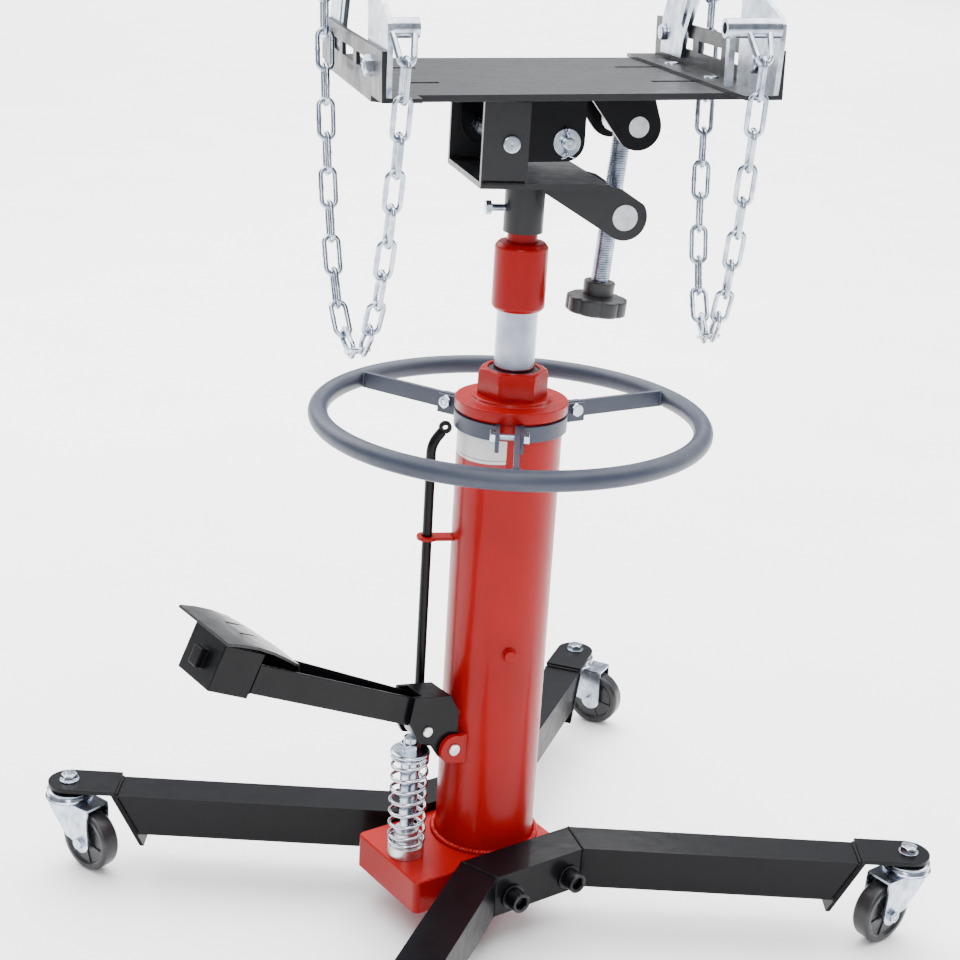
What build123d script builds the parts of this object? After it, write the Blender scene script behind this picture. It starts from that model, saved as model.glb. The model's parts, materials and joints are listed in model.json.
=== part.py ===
from build123d import *
import math
import os

# Telescopic transmission jack, millimetres.
# Frame: floor at z = 0, lifting column on the Z axis, X along the middle runs of the two leg
# beams with the foot pump at -X, Y across the beams.

# ---- driving dimensions ---------------------------------------------------------------
CASTER_X, CASTER_Y = 384.0, 314.0        # swivel axes of the four casters
BEAM_IN, BEAM_W, BEAM_H = 63.0, 48.0, 50.0
BEAM_Z0 = 46.5
BEAM_MID = 69.0                          # half length of a beam's middle run, on its centreline
BEAM_WALL = 3.0
BEND_Z = BEAM_Z0 + BEAM_H
END_GAP = 59.0                           # tube end to caster axis
END_SLANT = 26.0                         # run of an end plate over one beam height
END_DROP = 15.0                          # end plate below the beam
TAB_T, TAB_R = 5.0, 25.0
WHEEL_R, WHEEL_W, TRAIL = 37.5, 24.0, 36.0
BLOCK_Z0, BLOCK_Z1 = 46.0, 86.0
COL_R, COL_WALL, COL_TOP = 57.15, 4.5, 604.0
CAP_R, CAP_TOP = 61.5, 616.0
NUT_TOP = 650.0
RAM1_R, RAM1_BORE, RAM1_Z0 = 22.0, 16.6, 160.0
COLLAR_R, COLLAR_Z0, COLLAR_Z1 = 28.5, 714.0, 787.0
RAM2_R, RAM2_Z0, RAM2_Z1 = 16.0, 182.0, 797.0
SPIGOT_R = 13.0
SLIDE_GAP = 0.3                          # sliding faces
PIN_GAP = 0.06                           # pins and shafts
BAND_Z0, BAND_Z1, BAND_T = 584.0, 601.0, 4.5
BOLT_Z = 596.0                           # spokes and clamp bolts
RING_R, RING_TUBE, RING_Z = 208.5, 10.8, 594.0
PUMP_X = -110.0
PUMP_CAP_Z = 218.0
SEAT_Z = 100.0                           # spring seat on the pump's flange
PIVOT_X, PIVOT_Z = -69.0, 219.0          # pedal pivot
LINK_X, LINK_Z = -102.0, 247.0           # push roller axle
ROLLER_R = 12.0
ROD_X, ROD_Y, ROD_R = -77.0, 36.0, 5.5
HEAD_YAW = -22.0
SADDLE_TILT = 2.0
TILT_X, TILT_Z = -38.0, 899.0            # saddle pivot pin
LOWER_X, LOWER_Z = 94.3, 822.3           # lower screw trunnion
UPPER_X, UPPER_Z = 100.9, 914.9          # upper screw trunnion
YOKE_Y, YOKE_X0, YOKE_X1 = 76.0, -67.0, 66.0
YOKE_Z0, YOKE_T, UPRIGHT_Z = 854.5, 6.0, 940.0
EAR_Y0, EAR_Y1 = 43.0, 49.0
SCREW_R = 10.0
PLATE_Z1, PLATE_T = 956.5, 6.0
PLATE_X, PLATE_Y = 190.0, 150.0
PAD_X = 152.5                            # raised bearing face between the rails
RAIL_X, RAIL_T, RAIL_W, RAIL_H = 190.0, 4.0, 37.0, 45.0
RAIL_Y0, RAIL_Y1 = -200.0, 160.0
RAIL_SEAT = 0.05                         # running gap under the sliding rails
BARREL_R = 9.0
BAIL_DROP, BAIL_U = 26.0, 6.5
LINK_D, LINK_IN, LINK_WIDE = 5.0, 34.2, 20.0
CHAIN_LINKS = 21

os.makedirs("parts", exist_ok=True)


# ---- helpers --------------------------------------------------------------------------
def block(x0, x1, y0, y1, z0, z1):
    size = Box(abs(x1 - x0), abs(y1 - y0), abs(z1 - z0))
    return Pos((x0 + x1) / 2, (y0 + y1) / 2, (z0 + z1) / 2) * size


def post(x, y, z0, z1, r):
    return Pos(x, y, (z0 + z1) / 2) * Cylinder(r, z1 - z0)


def tube(x, y, z0, z1, r, bore):
    return post(x, y, z0, z1, r) - post(x, y, z0 - 1, z1 + 1, bore)


def rod(start, end, r):
    start, end = Vector(*start), Vector(*end)
    plane = Plane(origin=start, z_dir=end - start)
    return extrude(plane * Circle(r), (end - start).length)


def y_pin(x, z, y0, y1, r):
    return rod((x, y0, z), (x, y1, z), r)


def x_pin(y, z, x0, x1, r):
    return rod((x0, y, z), (x1, y, z), r)


def hex_post(x, y, z0, z1, across):
    sketch = Pos(x, y, z0) * RegularPolygon(across / 2, 6, major_radius=False)
    return extrude(sketch, z1 - z0)


def hex_along(start, end, across):
    start, end = Vector(*start), Vector(*end)
    plane = Plane(origin=start, z_dir=end - start)
    return extrude(plane * RegularPolygon(across / 2, 6, major_radius=False), (end - start).length)


def plan_slab(points, z0, z1):
    return extrude(Pos(0, 0, z0) * make_face(Polyline(*points, close=True)), z1 - z0)


def xz_plate(points, y0, y1):
    """Flat plate in the XZ plane, from y0 to y1."""
    plane = Plane(origin=(0, y1, 0), x_dir=(1, 0, 0), z_dir=(0, -1, 0))
    return extrude(plane * make_face(Polyline(*points, close=True)), y1 - y0)


def yz_plate(points, x0, x1):
    """Flat plate in the YZ plane, from x0 to x1."""
    plane = Plane(origin=(x0, 0, 0), x_dir=(0, 1, 0), z_dir=(1, 0, 0))
    return extrude(plane * make_face(Polyline(*points, close=True)), x1 - x0)


def arc_points(cx, cz, r, a0, a1, steps=10):
    angles = [math.radians(a0 + (a1 - a0) * i / steps) for i in range(steps + 1)]
    return [(cx + r * math.cos(a), cz + r * math.sin(a)) for a in angles]


def band_outline(path, half):
    """Outline of a strip of the given half width along an open plan path, mitred at its corners."""
    left, right = [], []
    for i, p in enumerate(path):
        dirs = []
        if i > 0:
            dirs.append(Vector(p[0] - path[i - 1][0], p[1] - path[i - 1][1]).normalized())
        if i < len(path) - 1:
            dirs.append(Vector(path[i + 1][0] - p[0], path[i + 1][1] - p[1]).normalized())
        normals = [Vector(-d.Y, d.X) for d in dirs]
        mid = sum(normals, Vector(0, 0)).normalized()
        reach = half / mid.dot(normals[0])
        left.append((p[0] + mid.X * reach, p[1] + mid.Y * reach))
        right.append((p[0] - mid.X * reach, p[1] - mid.Y * reach))
    return left + right[::-1]


def head(shape):
    return Rot(0, 0, HEAD_YAW) * shape


def tilted(shape):
    turned = Pos(TILT_X, 0, TILT_Z) * Rot(0, -SADDLE_TILT, 0) * Pos(-TILT_X, 0, -TILT_Z) * shape
    return head(turned)


def untilt(x, z):
    """Head-frame point (x, z) written in the untilted saddle frame."""
    a = math.radians(SADDLE_TILT)
    dx, dz = x - TILT_X, z - TILT_Z
    return TILT_X + dx * math.cos(a) + dz * math.sin(a), TILT_Z - dx * math.sin(a) + dz * math.cos(a)


nodes = {}


def add(name, *shapes):
    nodes[name] = shapes


def chamfer_z(shape, size):
    return chamfer(shape.edges().filter_by(Axis.Z), size)


# ---- base block and column ------------------------------------------------------------
SCREW_XS = (-38.0, 42.0)
SCREW_Z = 66.0
base = block(-136, 62, -BEAM_IN + 0.5, BEAM_IN - 0.5, BLOCK_Z0, BLOCK_Z1)
base = fillet(base.edges().filter_by(Axis.Z), 8)
base = chamfer(base.faces().sort_by(Axis.Z)[-1].edges(), 1.5)
base -= post(0, 0, 74, BLOCK_Z1 + 1, 36.0)
base -= post(PUMP_X, 0, 62, BLOCK_Z1 + 1, 14.0)
base -= post(ROD_X, ROD_Y, 66, BLOCK_Z1 + 1, 8.0)
base -= Pos((PUMP_X - 20) / 2, 0, 70) * Rot(0, 90, 0) * Cylinder(3.0, abs(PUMP_X) - 44)
for side in (-1, 1):
    for x in SCREW_XS:
        base -= y_pin(x, SCREW_Z, side * 34, side * 64, 8.0)
add("base_block", base)

column = tube(0, 0, BLOCK_Z1, COL_TOP, COL_R, COL_R - COL_WALL)
plug_dir = Vector(-0.36, -0.93, 0).normalized()
PLUG_Z = 336.0
plug_hole_start = plug_dir * (COL_R - 8) + Vector(0, 0, PLUG_Z)
plug_hole_end = plug_dir * (COL_R + 8) + Vector(0, 0, PLUG_Z)
column -= rod(plug_hole_start, plug_hole_end, 6.0)
foot_weld = Pos(0, 0, BLOCK_Z1) * (Cylinder(COL_R + 5, 5, align=(Align.CENTER, Align.CENTER, Align.MIN))
                                   - Cylinder(COL_R, 5, align=(Align.CENTER, Align.CENTER, Align.MIN)))
column += chamfer(foot_weld.edges().filter_by(GeomType.CIRCLE).sort_by(Axis.Z)[-1:], 3)
add("reservoir_tube", column)

plug_shank = rod((plug_dir * (COL_R - 6) + Vector(0, 0, PLUG_Z)),
                 (plug_dir * (COL_R + 1.5) + Vector(0, 0, PLUG_Z)), 6.0)
plug_head = rod((plug_dir * (COL_R + 1.5) + Vector(0, 0, PLUG_Z)),
                (plug_dir * (COL_R + 6.5) + Vector(0, 0, PLUG_Z)), 8.5)
add("fill_plug", plug_shank + plug_head)

add("pressure_cylinder", tube(0, 0, 74, COL_TOP - 10, 35.5, 30.0))

cap = tube(0, 0, COL_TOP - 10, COL_TOP, COL_R - COL_WALL, 35.0)
cap += tube(0, 0, COL_TOP, CAP_TOP, CAP_R, 30.0)
cap += tube(0, 0, CAP_TOP, CAP_TOP + 4, 43.0, 30.0)
cap = chamfer(cap.edges().filter_by(GeomType.CIRCLE).group_by(Axis.Z)[-1].sort_by(SortBy.RADIUS)[-1:], 1.5)
add("top_cap", cap)

gland = hex_post(0, 0, CAP_TOP + 4, NUT_TOP, 66.0)
gland &= post(0, 0, CAP_TOP, NUT_TOP + 1, 37.0)
gland += post(0, 0, COL_TOP - 26, CAP_TOP + 4, 30.0)
gland -= post(0, 0, COL_TOP - 30, NUT_TOP + 1, RAM1_R + SLIDE_GAP)
gland -= post(0, 0, NUT_TOP - 7, NUT_TOP + 1, 28.0)
add("gland_nut", gland)
add("wiper_seal", tube(0, 0, NUT_TOP - 7, NUT_TOP - 1.5, 28.0, RAM1_R + SLIDE_GAP))

# ---- leg beams ------------------------------------------------------------------------
beam_mid_y = BEAM_IN + BEAM_W / 2
leg_vec = Vector(CASTER_X - BEAM_MID, CASTER_Y - beam_mid_y)
leg_dir = leg_vec.normalized()
leg_angle = math.degrees(math.atan2(leg_dir.Y, leg_dir.X))


def beam_path(reach):
    """Plan centreline of a leg beam whose two outer runs are of length reach."""
    corner = Vector(BEAM_MID, beam_mid_y)
    far = corner + leg_dir * reach
    return [(-far.X, far.Y), (-corner.X, corner.Y), (corner.X, corner.Y), (far.X, far.Y)]


def leg_frame(side):
    """Bent square tube for side +1 (+Y) or -1 (-Y), with its end plates and caster tabs."""
    shape = plan_slab(band_outline(beam_path(leg_vec.length - END_GAP), BEAM_W / 2), BEAM_Z0, BEND_Z)
    hollow = plan_slab(band_outline(beam_path(leg_vec.length), BEAM_W / 2 - BEAM_WALL),
                       BEAM_Z0 + BEAM_WALL, BEND_Z - BEAM_WALL)
    shape -= hollow
    ends = []
    for flip in (-1, 1):
        place = Pos(flip * CASTER_X, CASTER_Y, 0) * Rot(0, 0, leg_angle if flip > 0 else 180 - leg_angle)
        slope = END_SLANT / BEAM_H
        low = BEAM_Z0 - END_DROP
        cutter = xz_plate([(-END_GAP + slope, BEND_Z + 1), (-END_GAP - slope * (BEND_Z - low), low),
                           (20, low), (20, BEND_Z + 1)], -60, 60)
        shape -= place * cutter
        drop = BEND_Z - low
        face = xz_plate([(-END_GAP, BEND_Z), (-END_GAP - drop * slope, low),
                         (-END_GAP - drop * slope + TAB_T, low), (-END_GAP + TAB_T, BEND_Z)],
                        -TAB_R, TAB_R)
        tab = block(-END_GAP, 0, -TAB_R, TAB_R, BEND_Z, BEND_Z + TAB_T)
        tab += post(0, 0, BEND_Z, BEND_Z + TAB_T, TAB_R)
        tab -= post(0, 0, BEND_Z - 1, BEND_Z + TAB_T + 1, 6.2)
        ends.append(place * (face + tab))
    for end in ends:
        shape += end
    for x in SCREW_XS:
        shape -= y_pin(x, SCREW_Z, BEAM_IN - 5, BEAM_IN + BEAM_W + 5, 8.3)
    if side < 0:
        shape = mirror(shape, Plane.XZ)
    return shape


add("front_leg_frame", leg_frame(-1))
add("rear_leg_frame", leg_frame(1))

screws = []
for side in (-1, 1):
    outer = side * (BEAM_IN + BEAM_W)
    for x in SCREW_XS:
        washer = y_pin(x, SCREW_Z, outer, outer + side * 3, 14.5)
        washer -= y_pin(x, SCREW_Z, outer - side, outer + side * 4, 8.3)
        shank = y_pin(x, SCREW_Z, side * 40, outer + side * 3, 7.9)
        cap_head = y_pin(x, SCREW_Z, outer + side * 3, outer + side * 19, 11.5)
        cap_head -= hex_along((x, outer + side * 11, SCREW_Z), (x, outer + side * 20, SCREW_Z), 14.0)
        screws += [washer, shank + cap_head]
add("leg_screws", *screws)

# ---- casters --------------------------------------------------------------------------
HEAD_TOP = BEND_Z - 0.3
casters = {"rear_left": (-1, 1, -72), "front_right": (1, -1, 182), "rear_right": (1, 1, -62),
           "front_left": (-1, -1, 100)}
FORK_IN = WHEEL_W / 2 + 2.0
FORK_T = 2.5


def fork_solids():
    """Pressed fork with its swivel head, and the axle bolt, trailing towards +X."""
    top = HEAD_TOP - 12
    back = TRAIL + 12.5
    profile = [(-24, top), (-24, top - 9), (TRAIL - 13.5, WHEEL_R + 2)]
    profile += arc_points(TRAIL, WHEEL_R, 13, 190, 355, 8)
    profile += [(back, WHEEL_R + 4), (back, top)]
    fork = xz_plate(profile, FORK_IN, FORK_IN + FORK_T) + xz_plate(profile, -FORK_IN - FORK_T, -FORK_IN)
    crown = post(0, 0, top - 3, top, 29.0) + block(-24, back, -FORK_IN - FORK_T, FORK_IN + FORK_T, top - 3, top)
    crown += post(0, 0, top, HEAD_TOP - 4, 27.0) + post(0, 0, HEAD_TOP - 4, HEAD_TOP, 18.0)
    fork += crown
    fork -= post(0, 0, top - 10, HEAD_TOP + 1, 6.0 + PIN_GAP)
    fork -= y_pin(TRAIL, WHEEL_R, -30, 30, 4.0)
    axle = y_pin(TRAIL, WHEEL_R, -FORK_IN - FORK_T, FORK_IN + FORK_T + 2, 4.0)
    axle += hex_along((TRAIL, -FORK_IN - FORK_T, WHEEL_R), (TRAIL, -FORK_IN - FORK_T - 5, WHEEL_R), 13.0)
    nut = hex_along((TRAIL, FORK_IN + FORK_T, WHEEL_R), (TRAIL, FORK_IN + FORK_T + 6, WHEEL_R), 13.0)
    return fork, axle + nut


def wheel_solid():
    tread = y_pin(TRAIL, WHEEL_R, -WHEEL_W / 2, WHEEL_W / 2, WHEEL_R)
    tread = fillet(tread.edges().filter_by(GeomType.CIRCLE), 3)
    for side in (-1, 1):
        dish = y_pin(TRAIL, WHEEL_R, side * (WHEEL_W / 2 - 3), side * (WHEEL_W / 2 + 1), 24.0)
        dish -= y_pin(TRAIL, WHEEL_R, side * (WHEEL_W / 2 - 4), side * (WHEEL_W / 2 + 2), 9.0)
        tread -= dish
    return tread - y_pin(TRAIL, WHEEL_R, -20, 20, 4.0 + PIN_GAP)


stems = []
for name, (sx, sy, heading) in casters.items():
    place = Pos(sx * CASTER_X, sy * CASTER_Y, 0) * Rot(0, 0, heading)
    fork, axle = fork_solids()
    add(name + "_fork", place * fork, place * axle)
    add(name + "_wheel", place * wheel_solid())
    stem = post(0, 0, HEAD_TOP - 22, BEND_Z + TAB_T + 9, 6.0)
    stem += post(0, 0, HEAD_TOP - 22, HEAD_TOP - 15.3, 10.0)
    stem += hex_post(0, 0, BEND_Z + TAB_T, BEND_Z + TAB_T + 8, 19.0)
    stems.append(Pos(sx * CASTER_X, sy * CASTER_Y, 0) * stem)
add("caster_stem_bolts", *stems)

# ---- push ring ------------------------------------------------------------------------
SPOKES = (111.0, 355.0, 233.0)           # directions of the spokes from the column
EAR_GAPS = (2.8, 2.8, 10.5)              # half the gap between each pair of ears
SPOKE_T = 5.4
EAR_OUT = 30.0
BOLT_R = COL_R + BAND_T + 18.0           # clamp bolts, from the column's axis


def clamp_set(angle, gap):
    """Two ears, one spoke and the bolt solids of one clamp joint."""
    ears = []
    for side in (-1, 1):
        ear = block(COL_R + 0.5, COL_R + BAND_T + EAR_OUT, side * gap, side * (gap + BAND_T),
                    BOLT_Z - 14, BAND_Z1 + 2)
        ear -= y_pin(BOLT_R, BOLT_Z, side * (gap - 1), side * (gap + BAND_T + 1), 4.2)
        ears.append(Rot(0, 0, angle) * (ear - post(0, 0, BAND_Z0 - 9, BAND_Z1 + 9, COL_R + 0.2)))
    spoke = block(COL_R + BAND_T + 1, RING_R - RING_TUBE + 1.5, gap - 0.1 - SPOKE_T, gap - 0.1,
                  BOLT_Z - 10, BOLT_Z + 8)
    spoke -= y_pin(BOLT_R, BOLT_Z, -12, 12, 4.2)
    bolt = y_pin(BOLT_R, BOLT_Z, -gap - BAND_T, gap + BAND_T, 4.0)
    for side in (-1, 1):
        y = side * (gap + BAND_T)
        bolt += hex_along((BOLT_R, y, BOLT_Z), (BOLT_R, y + side * 6, BOLT_Z), 13.0)
    return ears, Rot(0, 0, angle) * spoke, Rot(0, 0, angle) * bolt


band = tube(0, 0, BAND_Z0, BAND_Z1, COL_R + BAND_T, COL_R)
for angle, gap in zip(SPOKES, EAR_GAPS):
    band -= Rot(0, 0, angle) * block(COL_R - 5, COL_R + 20, -gap, gap, BAND_Z0 - 1, BAND_Z1 + 1)
clamps = [clamp_set(angle, gap) for angle, gap in zip(SPOKES, EAR_GAPS)]
joined = []
for part in band.solids():
    for ears, spoke, bolt in clamps:
        for ear in ears:
            if part.distance_to(ear) < 0.01:
                part = part + ear
    joined.append(part)
add("clamp_band", *joined)

ring = Pos(0, 0, RING_Z) * Torus(RING_R, RING_TUBE)
for ears, spoke, bolt in clamps:
    ring += spoke
add("push_ring", ring)
add("ring_bolts", *[bolt for ears, spoke, bolt in clamps])

# ---- foot pump ------------------------------------------------------------------------
LUG_IN, LUG_OUT = 20.3, 26.3
lug_outline = arc_points(PIVOT_X, PIVOT_Z, 17, 60, 270, 14) + [(-40, PIVOT_Z - 24), (-40, PIVOT_Z + 17)]
lugs = []
for side in (-1, 1):
    y0, y1 = sorted((side * LUG_IN, side * LUG_OUT))
    lug = xz_plate(lug_outline, y0, y1) - post(0, 0, 100, 400, COL_R)
    lug = lug.solids().sort_by(SortBy.VOLUME)[-1]
    lugs.append(lug - y_pin(PIVOT_X, PIVOT_Z, -40, 40, 7.0))
add("pedal_lugs", *lugs)
pivot_pin = y_pin(PIVOT_X, PIVOT_Z, -LUG_OUT - 2.5, LUG_OUT + 2.5, 7.0)
add("pedal_pivot_pin", chamfer(pivot_pin.edges().filter_by(GeomType.CIRCLE), 1))

pump = tube(PUMP_X, 0, 62, 118, 14.0, 8.0 + PIN_GAP) + tube(PUMP_X, 0, 86, SEAT_Z, 21.0, 8.0 + PIN_GAP)
add("pump_cylinder", pump)
plunger = post(PUMP_X, 0, 84, 234.4, 8.0)
plunger = chamfer(plunger.edges().filter_by(GeomType.CIRCLE), 1)
plunger += hex_post(PUMP_X, 0, PUMP_CAP_Z, PUMP_CAP_Z + 9, 21.0)
add("pump_plunger", plunger)
add("spring_washer", tube(PUMP_X, 0, PUMP_CAP_Z - 4, PUMP_CAP_Z, 22.5, 8.0))

SPRING_R, SPRING_WIRE, SPRING_TURNS = 20.0, 2.0, 7.5
spring_z0, spring_z1 = SEAT_Z + SPRING_WIRE, PUMP_CAP_Z - 4 - SPRING_WIRE
spring_path = Pos(PUMP_X, 0, spring_z0) * Helix((spring_z1 - spring_z0) / SPRING_TURNS,
                                              spring_z1 - spring_z0, SPRING_R)
spring_start = spring_path @ 0
spring_plane = Plane(origin=spring_start, z_dir=spring_path % 0)
spring = sweep(spring_plane * Circle(SPRING_WIRE), path=spring_path)
add("pump_spring", spring)

BRACKET_IN, BRACKET_OUT = 14.5, 19.9
bracket_side = [(-126, 262), (-112, 234), (-96, 229), (-84, 210), (-72, 205), (-60.5, 210),
                (-60.5, 262), (-72, 284), (-120, 292)]
bracket = xz_plate(bracket_side, -BRACKET_OUT, -BRACKET_IN) + xz_plate(bracket_side, BRACKET_IN, BRACKET_OUT)
bracket_roof = [(-108, 290), (-72, 284), (-72, 279), (-108, 285)]
bracket += xz_plate(bracket_roof, -BRACKET_IN, BRACKET_IN)
bracket -= y_pin(PIVOT_X, PIVOT_Z, -30, 30, 7.0 + PIN_GAP)
bracket -= y_pin(LINK_X, LINK_Z, -30, 30, 6.0)
add("pedal_bracket", bracket)
link_pin = y_pin(LINK_X, LINK_Z, -BRACKET_OUT - 2.5, BRACKET_OUT + 2.5, 6.0)
link_pin = chamfer(link_pin.edges().filter_by(GeomType.CIRCLE), 1)
roller = y_pin(LINK_X, LINK_Z, -10, 10, ROLLER_R) - y_pin(LINK_X, LINK_Z, -12, 12, 6.0 + PIN_GAP)
add("push_roller", link_pin, roller)

arm_dir = Vector(-203, 0, 94).normalized()
arm_up = Vector(arm_dir.Z, 0, -arm_dir.X)
arm_plane = Plane(origin=(-112, 0, 269), x_dir=arm_dir, z_dir=arm_up)
arm_side = Plane(origin=(-112, 0, 269), x_dir=arm_dir, z_dir=(0, 1, 0))
ARM_LEN, ARM_H, ARM_WALL = 285.0, 32.0, 3.0
ARM_IN, ARM_OUT, ARM_FLARE = 14.2, 33.0, 18.0    # half widths at its ends, and where it widens
TREAD_T = 3.0


def arm_plan(points, z0, z1):
    """Slab whose outline is given in the pedal arm's plan, both sides of its centreline."""
    outline = [(x, y) for x, y in points] + [(x, -y) for x, y in reversed(points)]
    return extrude(arm_plane.offset(z0) * make_face(Polyline(*outline, close=True)), z1 - z0)


arm_points = [(0, ARM_IN), (ARM_FLARE, ARM_IN), (ARM_LEN, ARM_OUT)]
inner_points = [(-2, ARM_IN - ARM_WALL), (ARM_FLARE, ARM_IN - ARM_WALL), (ARM_LEN - 4, ARM_OUT - ARM_WALL)]
arm = arm_plan(arm_points, -ARM_H / 2, ARM_H / 2)
BOX_POINTS = [(234, 29.6), (ARM_LEN, ARM_OUT)]
arm += arm_plan(BOX_POINTS, -ARM_H / 2 - 6, 28)
arm -= arm_plan(inner_points, -ARM_H / 2 + ARM_WALL, 40)
block_end = [(ARM_LEN - 0.5, 8), (ARM_LEN + 8, 8)]
arm += arm_plan(block_end, -8, 12)
add("pedal_arm", arm)

tread_line = [(164, 5), (172, 17), (185, 21.5), (200, 25.5), (220, 30.5), (240, 34.5), (260, 36),
              (280, 35), (298, 32.5)]
tread_profile = tread_line + [(x, z + TREAD_T) for x, z in reversed(tread_line)]
tread_sheet = extrude(arm_side * make_face(Polyline(*tread_profile, close=True)), 60, both=True)
tread_plan = [(160, 3), (172, 6), (185, 22), (200, 36), (225, 47), (245, 52), (275, 54), (300, 54)]
foot_plate = tread_sheet & arm_plan(tread_plan, 0, 60)
for y in (-21.0, 9.0):
    groove = arm_plane.offset(33) * Pos(248, y) * Rot(0, 0, 24) * Rectangle(34, 3)
    foot_plate -= extrude(groove, 12)
foot_plate = foot_plate.solids().sort_by(SortBy.VOLUME)[-1]
add("foot_plate", foot_plate)

# ---- release valve and rod ------------------------------------------------------------
add("release_valve", tube(ROD_X, ROD_Y, 66, 98, 8.0, ROD_R + PIN_GAP)
    + (hex_post(ROD_X, ROD_Y, 86, 94, 20.0) - post(ROD_X, ROD_Y, 80, 100, ROD_R + PIN_GAP)))
rod_angle = math.degrees(math.atan2(ROD_Y, ROD_X))
ROD_Z0, ROD_BEND_Z = 70.0, 562.0
EYE_R, EYE_T = 7.0, 5.0
rod_shape = post(ROD_X, ROD_Y, ROD_Z0, ROD_BEND_Z, ROD_R)
rod_bend = Vector(ROD_X, ROD_Y, ROD_BEND_Z)
eye_centre = rod_bend + Vector(12.5, -6, 20)
rod_shape += Pos(*rod_bend) * Sphere(ROD_R)
rod_shape += rod(rod_bend, eye_centre, ROD_R)
rod_shape += Pos(*eye_centre) * Rot(90, 0, 0) * Cylinder(EYE_R, EYE_T)
add("release_rod", rod_shape)
ROD_REACH = math.hypot(ROD_X, ROD_Y)
GUIDE_Z0, GUIDE_Z1 = 453.0, 457.0
guide = block(COL_R - 2, ROD_REACH, -9, 9, GUIDE_Z0, GUIDE_Z1) + post(ROD_REACH, 0, GUIDE_Z0, GUIDE_Z1, 12)
guide -= post(0, 0, GUIDE_Z0 - 1, GUIDE_Z1 + 1, COL_R)
guide -= post(ROD_REACH, 0, GUIDE_Z0 - 1, GUIDE_Z1 + 1, ROD_R + 0.5)
add("rod_guide", Rot(0, 0, rod_angle) * guide)

# ---- rams -----------------------------------------------------------------------------
ram1 = tube(0, 0, RAM1_Z0, COLLAR_Z0 + 6, RAM1_R, RAM1_BORE)
add("first_ram", ram1)
add("first_piston", tube(0, 0, RAM1_Z0 - 18, RAM1_Z0, 30.0 - SLIDE_GAP, 10.0)
    + tube(0, 0, RAM1_Z0, RAM1_Z0 + 22, 30.0 - SLIDE_GAP, RAM1_R))
collar = tube(0, 0, COLLAR_Z0, COLLAR_Z1, COLLAR_R, RAM2_R + SLIDE_GAP)
collar = chamfer(collar.edges().filter_by(GeomType.CIRCLE).filter_by(lambda e: e.radius > 25), 4)
collar -= post(0, 0, COLLAR_Z0 - 1, COLLAR_Z0 + 6, RAM1_R)
add("ram_collar", collar)
ram2 = post(0, 0, RAM2_Z0, RAM2_Z1, RAM2_R)
ram2 += post(0, 0, RAM2_Z1, YOKE_Z0 - 4, SPIGOT_R)
ram2 = chamfer(ram2.edges().filter_by(GeomType.CIRCLE).sort_by(Axis.Z)[-1:], 1.5)
add("second_ram", ram2)

# ---- head yoke ------------------------------------------------------------------------
yoke = tube(0, 0, RAM2_Z1 + 0.3, YOKE_Z0, 21.0, SPIGOT_R + PIN_GAP)
yoke += block(YOKE_X0, YOKE_X1, -YOKE_Y, YOKE_Y, YOKE_Z0, YOKE_Z0 + YOKE_T)
for side in (-1, 1):
    y0, y1 = sorted((side * (YOKE_Y - 6), side * YOKE_Y))
    yoke += block(YOKE_X0, -20, y0, y1, YOKE_Z0, UPRIGHT_Z)
    y0, y1 = sorted((side * EAR_Y0, side * EAR_Y1))
    ear = [(6, YOKE_Z0 + 1), (6, 847)] + arc_points(LOWER_X, LOWER_Z, 24, 232, 395, 16)
    ear += [(90, 851), (72, YOKE_Z0 + 1)]
    yoke += xz_plate(ear, y0, y1)
yoke -= y_pin(TILT_X, TILT_Z, -90, 90, 9.0)
yoke -= y_pin(LOWER_X, LOWER_Z, -90, 90, 13.4 + PIN_GAP)
LOCK_Z = 822.0
yoke -= x_pin(0, LOCK_Z, -30, 0, 4.0)
add("saddle_yoke", head(yoke))
lock_bolt = x_pin(0, LOCK_Z, -36, -SPIGOT_R - 0.3, 4.0)
lock_bolt += hex_along((-36, 0, LOCK_Z), (-42, 0, LOCK_Z), 13.0)
add("socket_lock_bolt", head(lock_bolt))
tilt_pin = y_pin(TILT_X, TILT_Z, -YOKE_Y - 3, YOKE_Y + 3, 9.0)
add("tilt_pivot_pin", head(chamfer(tilt_pin.edges().filter_by(GeomType.CIRCLE), 1.5)))

# ---- tilt screw and trunnions ---------------------------------------------------------
screw_dir = Vector(LOWER_X - UPPER_X, 0, LOWER_Z - UPPER_Z).normalized()
upper_point = Vector(UPPER_X, 0, UPPER_Z)
UPPER_FLAT = 13.0


def on_screw(s0, s1, r):
    a, b = upper_point + screw_dir * s0, upper_point + screw_dir * s1
    return rod(a, b, r)


low_trunnion = y_pin(LOWER_X, LOWER_Z, -EAR_Y1 - 1, EAR_Y1 + 1, 13.4)
low_trunnion += y_pin(LOWER_X, LOWER_Z, -24, 24, 18.0)
low_trunnion -= on_screw(40, 140, SCREW_R + 1.3)
add("lower_trunnion", head(low_trunnion))

up_trunnion = y_pin(UPPER_X, UPPER_Z, -EAR_Y1 - 1, EAR_Y1 + 1, 10.6)
up_mid = y_pin(UPPER_X, UPPER_Z, -24, 24, 17.0)
flat_box = Pos(*upper_point) * Rot(0, math.degrees(math.atan2(screw_dir.X, screw_dir.Z)) + 180, 0) \
    * Box(60, 60, 2 * UPPER_FLAT)
up_trunnion += up_mid & flat_box
up_trunnion -= on_screw(-40, 40, 6.0 + PIN_GAP)
add("upper_trunnion", head(up_trunnion))

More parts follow.
